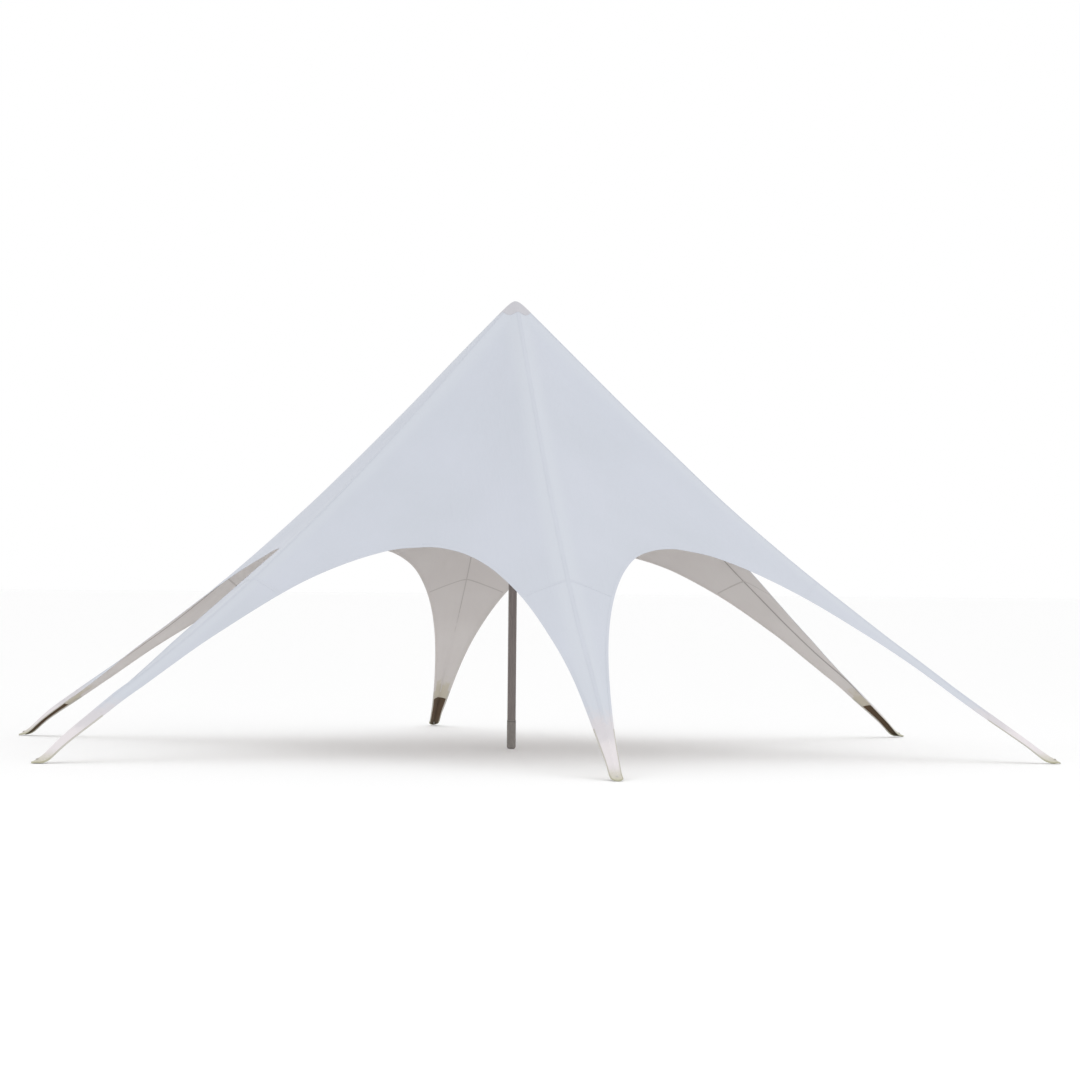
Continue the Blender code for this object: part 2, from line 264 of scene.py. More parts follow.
def cloth(
    name, colour, stained, dirt, roughness, threads=900.0, weave=0.25, crease=0.35, fades=(), ridge=None
):
    """fades are (height where it starts, height where it is full, colour). ridge is the colour of the painted highlight
    band along the ridges.
    """
    made, tree, shader = new_material(name)
    stains = group(tree, STAINS)
    patches = put(tree, "ShaderNodeMapRange", [stains.outputs[0], 0.35, 0.7]).outputs[0]
    tint = between(tree, patches, colour, stained)
    # The ridge band is a painted highlight: lighter where light falls on the rounded ridge.
    if ridge:
        tint = between(tree, group(tree, RIDGE_HIGHLIGHT).outputs[0], tint, ridge)
    for start, full, fade_colour in fades:
        mask = group(tree, FADE, Starts_at=start, Full_at=full).outputs[0]
        tint = between(tree, mask, tint, fade_colour)
    tint = between(tree, stains.outputs[1], tint, dirt)
    tree.links.new(tint, shader.inputs["Base Color"])
    weft = group(tree, WEAVE, Threads_per_metre=threads)
    folds = group(tree, CREASES)
    rough = put(tree, "ShaderNodeMapRange", [patches, 0.0, 1.0, roughness - 0.05, roughness + 0.05])
    tree.links.new(rough.outputs[0], shader.inputs["Roughness"])
    fine = put(tree, "ShaderNodeBump", {"Strength": weave, "Distance": 0.0005, "Height": weft.outputs[0]})
    broad = put(
        tree,
        "ShaderNodeBump",
        {"Strength": crease, "Distance": 0.02, "Height": folds.outputs[0], "Normal": fine.outputs[0]},
    )
    tree.links.new(broad.outputs[0], shader.inputs["Normal"])
    shader.inputs["Sheen Weight"].default_value = 0.05
    shader.inputs["Specular IOR Level"].default_value = 0.25
    return made


# %% Mix the cloths
GRASS_DIRT = (0.44, 0.43, 0.32)
WARM_END = (0.76, 0.72, 0.735)
CREAM_TOE = (0.64, 0.61, 0.5)
LEG_FADES = [(0.56, 0.38, (0.66, 0.635, 0.66)), (0.34, 0.24, WARM_END)]
canopy_outside = cloth(
    "canopy_outside",
    (0.595, 0.622, 0.69),
    (0.575, 0.605, 0.665),
    GRASS_DIRT,
    roughness=0.62,
    fades=LEG_FADES,
    # The ridge colour is a painted highlight along every ridge.
    ridge=(0.606, 0.636, 0.694),
)
canopy_inside = cloth(
    "canopy_inside",
    (0.655, 0.625, 0.61),
    (0.62, 0.585, 0.57),
    GRASS_DIRT,
    roughness=0.75,
    fades=[(0.52, 0.41, (0.56, 0.518, 0.435))],
)
hem_inside = cloth("hem_inside", (0.64, 0.6, 0.585), (0.6, 0.57, 0.55), GRASS_DIRT, roughness=0.75)
leg_end_white = cloth(
    "leg_end_white",
    (0.595, 0.622, 0.69),
    (0.575, 0.605, 0.665),
    GRASS_DIRT,
    roughness=0.68,
    threads=600.0,
    fades=[*LEG_FADES, (0.1, 0.03, (0.7, 0.665, 0.61)), (0.032, 0.008, CREAM_TOE)],
)
lining_brown = cloth(
    "lining_brown", (0.118, 0.074, 0.044), (0.085, 0.058, 0.034), (0.15, 0.125, 0.08), roughness=0.85, threads=500.0
)
apex_white = cloth("apex_white", (0.575, 0.568, 0.605), (0.55, 0.548, 0.58), GRASS_DIRT, roughness=0.66, crease=0.1)
seam_white = cloth(
    "seam_white", (0.6, 0.627, 0.692), (0.58, 0.61, 0.67), GRASS_DIRT, 0.66, crease=0.1, fades=LEG_FADES
)
# Painted shadow for the inside seams: a dark line, and a fainter one that fades out below about a metre.
seam_shadow_dark = cloth("seam_shadow_dark", (0.38, 0.355, 0.34), (0.34, 0.32, 0.31), GRASS_DIRT, roughness=0.8, crease=0.1)
seam_shadow_faint = cloth(
    "seam_shadow_faint", (0.52, 0.49, 0.47), (0.48, 0.45, 0.44), GRASS_DIRT, 0.8, crease=0.1, fades=[(1.25, 0.95, (0.635, 0.605, 0.59))]
)
end_binding = cloth(
    "end_binding",
    (0.56, 0.54, 0.5),
    (0.52, 0.5, 0.45),
    GRASS_DIRT,
    roughness=0.75,
    threads=350.0,
    weave=0.6,
    fades=[(0.07, 0.015, (0.47, 0.455, 0.33))],
)
# The thread is painted a little lighter than the cloth: painted light that offsets the shade each raised stitch casts.
thread_lightened = cloth(
    "thread_lightened", (0.66, 0.68, 0.72), (0.62, 0.64, 0.68), GRASS_DIRT, 0.6, crease=0.0, fades=[(0.5, 0.1, (0.68, 0.65, 0.58))]
)


# %% [markdown]
# Metal and rubber share the scuffs. On the pole they run up and down, as marks from sliding the tubes together.


# %% The hard finishes
def hard(name, colour, worn, roughness, metallic, scuffs, bump=0.1):
    made, tree, shader = new_material(name)
    marks = group(tree, SCUFFS, **scuffs)
    spread = put(tree, "ShaderNodeMapRange", [marks.outputs[0], 0.4, 0.68]).outputs[0]
    tree.links.new(between(tree, spread, colour, worn), shader.inputs["Base Color"])
    rough = put(tree, "ShaderNodeMapRange", [spread, 0.0, 1.0, roughness, roughness + 0.18])
    tree.links.new(rough.outputs[0], shader.inputs["Roughness"])
    ridges = put(tree, "ShaderNodeBump", {"Strength": bump, "Distance": 0.0004, "Height": marks.outputs[0]})
    tree.links.new(ridges.outputs[0], shader.inputs["Normal"])
    shader.inputs["Metallic"].default_value = metallic
    return made


pole_grey = hard(
    "pole_grey", (0.195, 0.17, 0.163), (0.25, 0.22, 0.208), 0.42, 0.35, {"Length_scale": 3.0, "Girth_scale": 80.0}
)
collar_grey = hard(
    "collar_grey", (0.1, 0.09, 0.085), (0.15, 0.135, 0.125), 0.5, 0.3, {"Length_scale": 40.0, "Girth_scale": 60.0}
)
foot_rubber = hard(
    "foot_rubber", (0.225, 0.207, 0.196), (0.28, 0.26, 0.24), 0.7, 0.0, {"Length_scale": 25.0, "Girth_scale": 40.0}, 0.4
)
peg_steel = hard(
    "peg_steel", (0.66, 0.65, 0.62), (0.54, 0.51, 0.46), 0.45, 0.7, {"Length_scale": 300.0, "Girth_scale": 300.0}, 0.4
)
eyelet_metal = hard(
    "eyelet_metal", (0.66, 0.64, 0.6), (0.52, 0.49, 0.43), 0.4, 0.8, {"Length_scale": 200.0, "Girth_scale": 200.0}
)
print("materials:", len(bpy.data.materials))

# %% [markdown]
# ## The shape of the canopy in plan
# Seen from above, one leg is a point at (along, across): how far out it lies along the leg, and how far it lies to
# the side of the leg's ridge. The hem between two legs is an arch. It is nearly round in its middle and runs out
# into the legs' long thin sides, which one power curve gives. Half a leg is enough, because the rest repeats it.

# %% The hem's arch
LEG_COUNT = 6
HALF_SECTOR = math.pi / LEG_COUNT
ARCH_RADIUS = 2.095
ARCH_SPREAD = 0.519
ARCH_POWER = 1.65
ARCH_SOFTNESS = 0.25
TIP_RADIUS = 5.018
TIP_HALF_WIDTH = 0.047
TIP_ROUNDING = 0.05


def arch_outward(sideways):
    """How far out the hem is, measured along the middle of the arch."""
    reach = np.hypot(sideways, ARCH_SOFTNESS) ** ARCH_POWER - ARCH_SOFTNESS**ARCH_POWER
    return ARCH_RADIUS + ARCH_SPREAD * reach


def hem_point(sideways):
    """The hem as (along, across) of the nearer leg."""
    outward = arch_outward(sideways)
    cos, sin = math.cos(HALF_SECTOR), math.sin(HALF_SECTOR)
    return outward * cos + sideways * sin, outward * sin - sideways * cos


HEM_OFFSETS = np.linspace(0, 3, 3001)
HEM_ALONG, HEM_ACROSS = hem_point(HEM_OFFSETS)


def arch_offset(along):
    return np.interp(along, HEM_ALONG, HEM_OFFSETS)


def unrounded_width(along):
    """Half of a leg's width, which narrows until the tongue keeps a width of its own."""
    hem = np.interp(along, HEM_ALONG, HEM_ACROSS)
    soft = TIP_HALF_WIDTH / 2
    overlap = np.maximum(soft - np.abs(hem - TIP_HALF_WIDTH), 0) / soft
    return np.maximum(hem, TIP_HALF_WIDTH) + overlap**2 * soft / 4


def half_width(along):
    """The same with the rounding in which the tongue ends."""
    into_end = np.clip((along - (TIP_RADIUS - TIP_ROUNDING)) / TIP_ROUNDING, 0, 0.992)
    return unrounded_width(along) * np.sqrt(1 - into_end**2)


print("arch meets a leg's cross seam", round(float(half_width(2.85)), 3), "m from the ridge")

# %% [markdown]
# The flat pattern of half a leg is a grid. Its rows run from the ridge to the valley between two legs, and further
# out from the ridge to the hem. Rows lie closer together at the apex and at the tip, where the cloth bends most.

# %% Cut the flat pattern of half a leg
ARCH_ROW = 2.05
STRAIGHT_ROW = 2.9
COLUMNS = 20


def row_stations():
    """Distances of the rows along the ridge, finer at both ends."""
    apex = 0.21 * np.linspace(0, 1, 13) ** 1.6
    slope = np.concatenate(
        [np.linspace(0.24, ARCH_ROW, 54), np.linspace(ARCH_ROW, STRAIGHT_ROW, 30)[1:], np.linspace(STRAIGHT_ROW, 4.78, 56)[1:]]
    )
    nose = np.linspace(4.8, TIP_RADIUS - TIP_ROUNDING, 15)
    end = TIP_RADIUS - TIP_ROUNDING * (1 - np.sin(np.linspace(0, math.pi / 2, 9)[1:]))
    return np.concatenate([apex, slope, nose, end])


def outer_end(along):
    """Where a row that starts at this distance on the ridge ends, in the valley or on the hem."""
    if along <= ARCH_ROW:
        out = ARCH_RADIUS * along / ARCH_ROW
        return out * math.cos(HALF_SECTOR), out * math.sin(HALF_SECTOR)
    if along >= STRAIGHT_ROW:
        return along, float(half_width(along))
    share = (along - ARCH_ROW) / (STRAIGHT_ROW - ARCH_ROW)
    eased = share * share * (3 - 2 * share)
    start = float(HEM_ALONG[0])
    return tuple(hem_point(float(arch_offset(along - (ARCH_ROW - start) * (1 - eased)))))


def half_leg_pattern():
    rows = row_stations()
    shares = np.linspace(0, 1, COLUMNS + 1)
    ends = np.array([outer_end(float(a)) for a in rows])
    starts = np.stack([rows, np.zeros_like(rows)], axis=1)
    plan = starts[:, None] + (ends - starts)[:, None] * shares[None, :, None]
    flat = np.concatenate([plan, np.zeros((*plan.shape[:2], 1))], axis=2).reshape(-1, 3)
    faces = []
    for row in range(len(rows) - 1):
        for column in range(COLUMNS):
            corner = row * (COLUMNS + 1) + column
            faces.append((corner, corner + COLUMNS + 1, corner + COLUMNS + 2, corner + 1))
    mesh = bpy.data.meshes.new("half_leg_pattern")
    mesh.from_pydata(flat.tolist(), [], faces)
    side = mesh.attributes.new("side_share", "FLOAT", "POINT")
    held = half_width(rows) / unrounded_width(rows)
    side.data.foreach_set("value", (held[:, None] * shares).reshape(-1).astype(np.float32))
    return mesh


pattern = half_leg_pattern()
print("flat pattern:", len(pattern.vertices), "points")

# %% [markdown]
# ## Raising the canopy with Geometry Nodes
# The cloth's height over a point of the plan follows a rule. The ridge falls from the top, steeply at first. Between
# two ridges the cloth dips, most of all at about two metres from the pole. Near the pegs the two sides of a leg fold
# down, and a flat tongue meets the ground. A Geometry Nodes tree states that rule once, mirrors the half leg, sets
# six legs round the pole and merges them, so the canopy is one continuous sheet. Its sizes are named inputs.

# %% The sizes of the canopy
CANOPY_SIZES = {
    "Top": 4.066,
    "Apex rounding": 0.045,
    "Top slope": 0.986,
    "Tip slope": 0.648,
    "Slope reach": 5.0,
    "Ridge softness": 0.03,
    "Dip slope": 0.335,
    "Dip peak": 2.1,
    "Dip fade": 2.33,
    "Fold drop": 0.06,
    "Fold start": 3.45,
    "Fold end": 4.45,
    "Lift": 0.03,
    "Lift start": 4.0,
    "Lift end": 4.75,
    "Nose drop": 0.0,
    "Nose start": 4.85,
    "Nose end": 4.95,
    "Nose height": 0.03,
    "Nose rounding": 0.075,
    "Ground height": 0.0059,
    "Ground softness": 0.05,
    "Reach": TIP_RADIUS,
}


# %% The tree that raises the canopy
def smooth_rise(tree, value, start, end, height):
    """0 before start, height after end, and a smooth rise between."""
    return put(
        tree, "ShaderNodeMapRange", [value, start, end, 0.0, height], interpolation_type="SMOOTHSTEP"
    ).outputs[0]


def raise_tree():
    tree = bpy.data.node_groups.new("raise_canopy", "GeometryNodeTree")
    add_socket(tree, "Geometry", "Geometry", "INPUT")
    add_socket(tree, "Geometry", "Geometry", "OUTPUT")
    for name, value in CANOPY_SIZES.items():
        add_socket(tree, name, "Float", "INPUT", value)
    add_socket(tree, "Legs", "Int", "INPUT", LEG_COUNT)
    add_socket(tree, "Cloth", "Material", "INPUT")
    size = put(tree, "NodeGroupInput").outputs
    axes = put(tree, "ShaderNodeSeparateXYZ", [put(tree, "GeometryNodeInputPosition").outputs[0]])
    along, across = axes.outputs[0], axes.outputs[1]
    from_pole = calc(tree, "SQRT", calc(tree, "ADD", calc(tree, "POWER", along, 2.0), calc(tree, "POWER", across, 2.0)))
    rounded = calc(tree, "SQRT", calc(tree, "ADD", calc(tree, "POWER", from_pole, 2.0), calc(tree, "POWER", size["Apex rounding"], 2.0)))
    ridge = calc(tree, "SUBTRACT", size["Top"], calc(tree, "MULTIPLY", size["Top slope"], rounded))
    bend = calc(tree, "DIVIDE", calc(tree, "SUBTRACT", size["Top slope"], size["Tip slope"]), size["Slope reach"])
    bend = calc(tree, "MULTIPLY", calc(tree, "MULTIPLY", bend, 0.5), calc(tree, "POWER", rounded, 2.0))
    ridge = calc(tree, "ADD", ridge, bend)
    bearing = calc(tree, "ARCTAN2", across, calc(tree, "MAXIMUM", along, 0.0001))
    wave = calc(tree, "SINE", calc(tree, "MULTIPLY", bearing, math.pi / 2 / HALF_SECTOR))
    blunt = calc(tree, "DIVIDE", calc(tree, "MULTIPLY", size["Ridge softness"], 3.0), calc(tree, "MAXIMUM", from_pole, 0.05))
    wave = calc(tree, "SQRT", calc(tree, "ADD", calc(tree, "POWER", wave, 2.0), calc(tree, "POWER", blunt, 2.0)))
    wave = calc(tree, "SUBTRACT", wave, blunt)
    fade = calc(tree, "POWER", calc(tree, "DIVIDE", from_pole, size["Dip peak"]), size["Dip fade"])
    dip = calc(tree, "DIVIDE", calc(tree, "MULTIPLY", size["Dip slope"], from_pole), calc(tree, "ADD", 1.0, fade))
    dip = calc(tree, "MULTIPLY", dip, wave)
    side = put(tree, "GeometryNodeInputNamedAttribute", ["side_share"], data_type="FLOAT").outputs[0]
    fold = smooth_rise(tree, along, size["Fold start"], size["Fold end"], size["Fold drop"])
    height = calc(tree, "SUBTRACT", calc(tree, "SUBTRACT", ridge, dip), calc(tree, "MULTIPLY", fold, side))
    height = calc(tree, "ADD", height, smooth_rise(tree, along, size["Lift start"], size["Lift end"], size["Lift"]))
    drop = smooth_rise(tree, along, size["Nose start"], size["Nose end"], size["Nose drop"])
    height = calc(tree, "SUBTRACT", height, drop)
    to_end = calc(tree, "DIVIDE", calc(tree, "SUBTRACT", size["Reach"], along), size["Nose rounding"])
    to_end = calc(tree, "SUBTRACT", 1.0, calc(tree, "MINIMUM", to_end, 1.0))
    before_end = calc(tree, "SUBTRACT", 1.0, calc(tree, "POWER", to_end, 2.0))
    arched = calc(tree, "SUBTRACT", 1.0, calc(tree, "POWER", side, 2.0))
    nose = calc(tree, "MULTIPLY", calc(tree, "MULTIPLY", before_end, arched), size["Nose height"])
    ground = calc(tree, "ADD", size["Ground height"], nose)
    softness = calc(tree, "MULTIPLY", before_end, size["Ground softness"])
    height = calc(tree, "SMOOTH_MAX", height, ground, softness)
    place = put(tree, "ShaderNodeCombineXYZ", [along, across, height]).outputs[0]
    half = put(tree, "GeometryNodeSetPosition", {"Geometry": size["Geometry"], "Position": place}).outputs[0]
    for name, value in (("along", along), ("across", across)):
        half = put(
            tree, "GeometryNodeStoreNamedAttribute", {"Geometry": half, "Name": name, "Value": value}, data_type="FLOAT"
        ).outputs[0]
    other = put(tree, "GeometryNodeTransform", {"Geometry": half, "Scale": (1.0, -1.0, 1.0)}).outputs[0]
    other = put(tree, "GeometryNodeFlipFaces", {"Mesh": other}).outputs[0]
    minus = calc(tree, "MULTIPLY", across, -1.0)
    mirrored = put(tree, "GeometryNodeInputNamedAttribute", ["across"], data_type="FLOAT").outputs[0]
    minus = calc(tree, "MULTIPLY", mirrored, -1.0)
    other = put(
        tree, "GeometryNodeStoreNamedAttribute", {"Geometry": other, "Name": "across", "Value": minus}, data_type="FLOAT"
    ).outputs[0]
    leg = put(tree, "GeometryNodeJoinGeometry")
    tree.links.new(half, leg.inputs[0])
    tree.links.new(other, leg.inputs[0])
    points = put(tree, "GeometryNodePoints", {"Count": size["Legs"]}).outputs[0]
    turn = calc(tree, "DIVIDE", 2 * math.pi, size["Legs"])
    index = put(tree, "GeometryNodeInputIndex").outputs[0]
    turn = calc(tree, "SUBTRACT", calc(tree, "MULTIPLY", index, turn), math.pi / 2)
    turned = put(tree, "ShaderNodeCombineXYZ", [0.0, 0.0, turn]).outputs[0]
    legs = put(
        tree, "GeometryNodeInstanceOnPoints", {"Points": points, "Instance": leg.outputs[0], "Rotation": turned}
    ).outputs[0]
    legs = put(
        tree,
        "GeometryNodeStoreNamedAttribute",
        {"Geometry": legs, "Name": "leg", "Value": index},
        data_type="FLOAT",
        domain="INSTANCE",
    ).outputs[0]
    canopy = put(tree, "GeometryNodeRealizeInstances", [legs]).outputs[0]
    canopy = put(tree, "GeometryNodeMergeByDistance", {"Geometry": canopy, "Distance": 0.0002}).outputs[0]
    canopy = put(tree, "GeometryNodeSetMaterial", {"Geometry": canopy, "Material": size["Cloth"]}).outputs[0]
    put(tree, "NodeGroupOutput", [canopy])
    return tree


# %% [markdown]
# A modifier on the flat pattern runs the tree. Its inputs are set by their identifiers. The evaluated result is
# copied into a plain mesh, and the pattern is removed, because finished pieces carry no Geometry Nodes.


# %% Run a tree and keep its result
def run_tree(name, mesh, tree, values):
    holder = bpy.data.objects.new(name + "_source", mesh)
    bpy.context.scene.collection.objects.link(holder)
    modifier = holder.modifiers.new("nodes", "NODES")
    modifier.node_group = tree
    for item in tree.interface.items_tree:
        if item.in_out == "INPUT" and item.name in values:
            modifier[item.identifier] = values[item.name]
    depsgraph = bpy.context.evaluated_depsgraph_get()
    made = bpy.data.meshes.new_from_object(holder.evaluated_get(depsgraph), depsgraph=depsgraph)
    bpy.data.objects.remove(holder)
    made.name = name
    piece = bpy.data.objects.new(name, made)
    bpy.context.scene.collection.objects.link(piece)
    return piece


canopy = run_tree("canopy", pattern, raise_tree(), {"Cloth": canopy_outside})
print("canopy:", len(canopy.data.vertices), "points")

# %% [markdown]
# ## Ripples in the cloth
# Stretched canvas is never perfectly smooth. Long ripples run from the apex down the gores, the legs carry creases
# along their length, and the whole surface waves a little. The points move along their normals by a few
# millimetres. Sums of sines make the ripples, and a smooth noise makes the slow waves, so every run is the same.


# %% Move the points by the ripples
def point_values(mesh, name):
    values = np.empty(len(mesh.vertices), np.float32)
    mesh.attributes[name].data.foreach_get("value", values)
    return values.astype(float)


def smooth_step(value, start, end):
    held = np.clip((value - start) / (end - start), 0, 1)
    return held * held * (3 - 2 * held)


def ripple(mesh):
    count = len(mesh.vertices)
    places = np.empty(count * 3)
    mesh.vertices.foreach_get("co", places)
    places = places.reshape(-1, 3)
    along, across, leg = (point_values(mesh, name) for name in ("along", "across", "leg"))
    radius = np.hypot(places[:, 0], places[:, 1])
    turn = np.arctan2(places[:, 1], places[:, 0])
    crown = smooth_step(radius, 0.2, 1.0) * (1 - smooth_step(along, 2.3, 3.2))
    rays = sum(
        size * np.sin(waves * turn + phase + 0.5 * np.sin(3 * turn + waves))
        for waves, size, phase in ((19, 0.0022, 0.4), (31, 0.0016, 2.1), (47, 0.0009, 4.4))
    )
    slow = np.array([noise.noise(Vector(place) * 0.8) for place in places]) * 0.012
    slow *= smooth_step(radius, 0.3, 1.5) * (1 - smooth_step(along, 3.6, 4.4))
    share = across / half_width(np.maximum(along, 2.2))
    creases = sum(
        size * np.sin(waves * share + 1.7 * leg + 0.8 * np.sin(1.3 * along + leg))
        for waves, size in ((7.0, 0.0028), (13.0, 0.0014))
    )
    creases *= smooth_step(along, 2.6, 3.4) * (1 - smooth_step(along, 4.4, 4.85))
    moved = crown * rays + slow + creases
    places[:, 2] += moved
    mesh.vertices.foreach_set("co", places.reshape(-1))
    mesh.update()
    return float(np.abs(moved).max())


print("largest ripple:", round(ripple(canopy.data) * 1000, 1), "mm")


# %% [markdown]
# No two legs hang alike. Each was pulled to its peg by hand, so its ridge runs a few centimetres higher or lower
# than the rule. A table says by how many millimetres at each distance from the pole. Between two legs the lifts
# blend, so the surface stays smooth.

# %% Let each leg hang in its own way
HANG_STATIONS = [0, 0.5, 1, 1.5, 2, 2.5, 3, 3.5, 3.8, 4, 4.2, 4.5, 4.75, 4.95, 5.1]
HANG_LIFTS = {
    1: [25, 28, 20, 10, -5, -8, 0, 10, 30, 45, 50, 40, 25, 0, 0],
    2: [25, 28, 22, 18, -5, -2, 5, 15, 28, 30, 25, 12, 4, 0, 0],
    3: [25, 28, 22, 18, 0, 0, 10, 25, 45, 65, 80, 60, 36, 0, 0],
    4: [25, 28, 20, 10, -5, -8, 0, 10, 30, 45, 50, 40, 25, 0, 0],
    5: [25, 28, 12, 4, -14, -25, -18, 0, 25, 40, 52, 50, 38, 0, 0],
    6: [25, 28, 12, 4, 0, -8, -8, 8, 25, 42, 60, 45, 30, 0, 0],
}


def smooth_table(value, stations, heights):
    """A smooth curve through the table, with each station's slope taken from its neighbours."""
    stations, heights = np.array(stations, float), np.array(heights, float)
    slopes = np.gradient(heights, stations)
    cell = np.clip(np.searchsorted(stations, value, "right") - 1, 0, len(stations) - 2)
    width = stations[cell + 1] - stations[cell]
    t = np.clip((value - stations[cell]) / width, 0, 1)
    start, end = heights[cell], heights[cell + 1]
    rise = (2 * t**3 - 3 * t**2 + 1) * start + (3 * t**2 - 2 * t**3) * end
    return rise + width * ((t**3 - 2 * t**2 + t) * slopes[cell] + (t**3 - t**2) * slopes[cell + 1])


# How far a leg's end is pulled sideways (mm), the share by which it is narrower, and how far the sides of its lower
# half and of its tongue lift (mm).
LEG_PULLS = {
    1: (17, 0.1, 0, 27),
    2: (0, 0.1, 18, 4),
    3: (0, 0, 0, 8),
    4: (17, 0.08, 0, 34),
    5: (0, 0, 0, 8),
    6: (0, 0, 0, 4),
}


def pulled(x, y):
    """Where a point of the plan goes when its leg is pulled sideways and narrowed, and how much its side lifts."""
    leg = np.round((np.arctan2(y, x) + math.pi / 2) / (2 * HALF_SECTOR)) % LEG_COUNT
    turn = leg * 2 * HALF_SECTOR - math.pi / 2
    along, across = x * np.cos(turn) + y * np.sin(turn), y * np.cos(turn) - x * np.sin(turn)
    sideways, narrowed, relaxed, curled = (
        np.choose(leg.astype(int), [LEG_PULLS[number][part] for number in LEGS]) for part in range(4)
    )
    ramp = smooth_step(along, 2.6, 4.2)
    share = np.abs(across) / unrounded_width(np.maximum(along, 2.2))
    moved = across * (1 - narrowed * ramp) + sideways / 1000 * ramp
    lift = relaxed / 1000 * share * smooth_step(along, 3.6, 4.3) * (1 - smooth_step(along, 4.7, 4.95))
    to_end = np.clip((along - 4.88) / (TIP_RADIUS - 4.88), 0, 1)
    lift = lift + curled / 1000 * share**2 * smooth_step(along, 4.6, 4.88) * (1 - to_end**2)
    return along * np.cos(turn) - moved * np.sin(turn), along * np.sin(turn) + moved * np.cos(turn), lift


def hang(mesh):
    places = np.empty(len(mesh.vertices) * 3)
    mesh.vertices.foreach_get("co", places)
    places = places.reshape(-1, 3)
    radius = np.hypot(places[:, 0], places[:, 1])
    bearing = np.degrees(np.arctan2(places[:, 1], places[:, 0]))
    lift = np.zeros(len(places))
    for leg, heights in HANG_LIFTS.items():
        away = np.abs((bearing - (-90 + 60 * (leg - 1)) + 180) % 360 - 180)
        share = 1 - smooth_step(away, 0, 60)
        lift += share * smooth_table(radius, HANG_STATIONS, heights) / 1000
    places[:, 0], places[:, 1], side_lift = pulled(places[:, 0], places[:, 1])
    places[:, 2] += lift + side_lift
    mesh.vertices.foreach_set("co", places.reshape(-1))
    mesh.update()
    return lift


lifts = hang(canopy.data)
print("legs hang from", round(lifts.min() * 1000), "to", round(lifts.max() * 1000), "mm off the rule")

# %% [markdown]
# The cloth's own UV map is in metres: across the leg, and down its slope. It is what the weave and creases follow.


# %% Give the cloth its UV map
def cloth_map(mesh, across, down):
    layer = mesh.uv_layers.new(name="cloth")
    corners = np.empty(len(mesh.loops), np.int32)
    mesh.loops.foreach_get("vertex_index", corners)
    layer.data.foreach_set("uv", np.stack([across[corners], down[corners]], axis=1).reshape(-1).astype(np.float32))


def canopy_map(mesh):
    """Every face takes the leg that it belongs to, so the map has its seams in the valleys."""
    layer = mesh.uv_layers.new(name="cloth")
    places = np.empty(len(mesh.vertices) * 3)
    mesh.vertices.foreach_get("co", places)
    corners, starts, totals = (np.empty(n, np.int32) for n in (len(mesh.loops), len(mesh.polygons), len(mesh.polygons)))
    mesh.loops.foreach_get("vertex_index", corners)
    mesh.polygons.foreach_get("loop_start", starts)
    mesh.polygons.foreach_get("loop_total", totals)
    plan = places.reshape(-1, 3)[corners][:, :2]
    middle = np.repeat(np.add.reduceat(plan, starts) / totals[:, None], totals, axis=0)
    leg = np.round((np.arctan2(middle[:, 1], middle[:, 0]) + math.pi / 2) / (2 * HALF_SECTOR))
    turn = leg * 2 * HALF_SECTOR - math.pi / 2
    along = plan[:, 0] * np.cos(turn) + plan[:, 1] * np.sin(turn)
    across = plan[:, 1] * np.cos(turn) - plan[:, 0] * np.sin(turn)
    layer.data.foreach_set("uv", np.stack([across, along * 1.3 + leg * 10], axis=1).reshape(-1).astype(np.float32))


canopy_map(canopy.data)
canopy.data.shade_smooth()

# %% [markdown]
# ## Sewing strips onto the canopy
# Seam tapes, hems and leg ends all lie on the canopy. Each is a section swept along a line in plan. To find the
# height, a ray is dropped onto the finished canopy, ripples and all, so a strip never floats or sinks in.

# %% Drop points onto the canopy
SHEET = 0.0018
surface_points = [vertex.co.copy() for vertex in canopy.data.vertices]
surface_normals = [vertex.normal.copy() for vertex in canopy.data.vertices]
surface_faces = [tuple(face.vertices) for face in canopy.data.polygons]
surface = BVHTree.FromPolygons(surface_points, surface_faces)


def on_canopy(x, y):
    """The point of the canopy's outer face over a point of the flat plan, and its smooth normal."""
    x, y, _ = pulled(np.float64(x), np.float64(y))
    for closer in (1, 0.9998, 0.9995, 0.999, 0.998, 0.996):
        place, _, face, _ = surface.ray_cast(Vector((x * closer, y * closer, 6)), Vector((0, 0, -1)))
        if place is not None:
            corners = surface_faces[face]
            weights = poly_3d_calc([surface_points[corner] for corner in corners], place)
            normal = Vector()
            for corner, weight in zip(corners, weights):
                normal += surface_normals[corner] * weight
            return place, normal.normalized()
    raise ValueError(f"no canopy near {x:.3f}, {y:.3f}")


def in_plan(leg, along, across):
    """A point of a leg, turned into the tent's own frame."""
    turn = math.radians(-90) + (leg - 1) * 2 * HALF_SECTOR
    return (
        along * math.cos(turn) - across * math.sin(turn),
        along * math.sin(turn) + across * math.cos(turn),
    )


# %% Sweep a section along a line on the canopy
def sweep(lines, section, closed_ends=True):
    """Each line is a list of stations, and a station gives a place for each distance. The section is a closed loop
    of (distance, lift) pairs. Returns the points and faces, with each point's place along and across the strip and
    its lift off the cloth."""
    points, faces, travelled, sideways, lifts = [], [], [], [], []
    size = len(section)
    for stations in lines:
        first, gone, before = len(points), 0.0, None
        for station in stations:
            ring = [station(distance, lift) for distance, lift in section]
            gone += (ring[0] - before).length if before else 0.0
            before = ring[0]
            points += ring
            travelled += [gone] * size
            sideways += [distance for distance, _ in section]
            lifts += [lift for _, lift in section]
        for row in range(len(stations) - 1):
            for side in range(size):
                a, b = first + row * size + side, first + row * size + (side + 1) % size
                faces.append((a, b, b + size, a + size))
        if closed_ends:
            faces.append(tuple(first + i for i in reversed(range(size))))
            faces.append(tuple(len(points) - size + i for i in range(size)))
    return points, faces, np.array(travelled), np.array(sideways), lifts


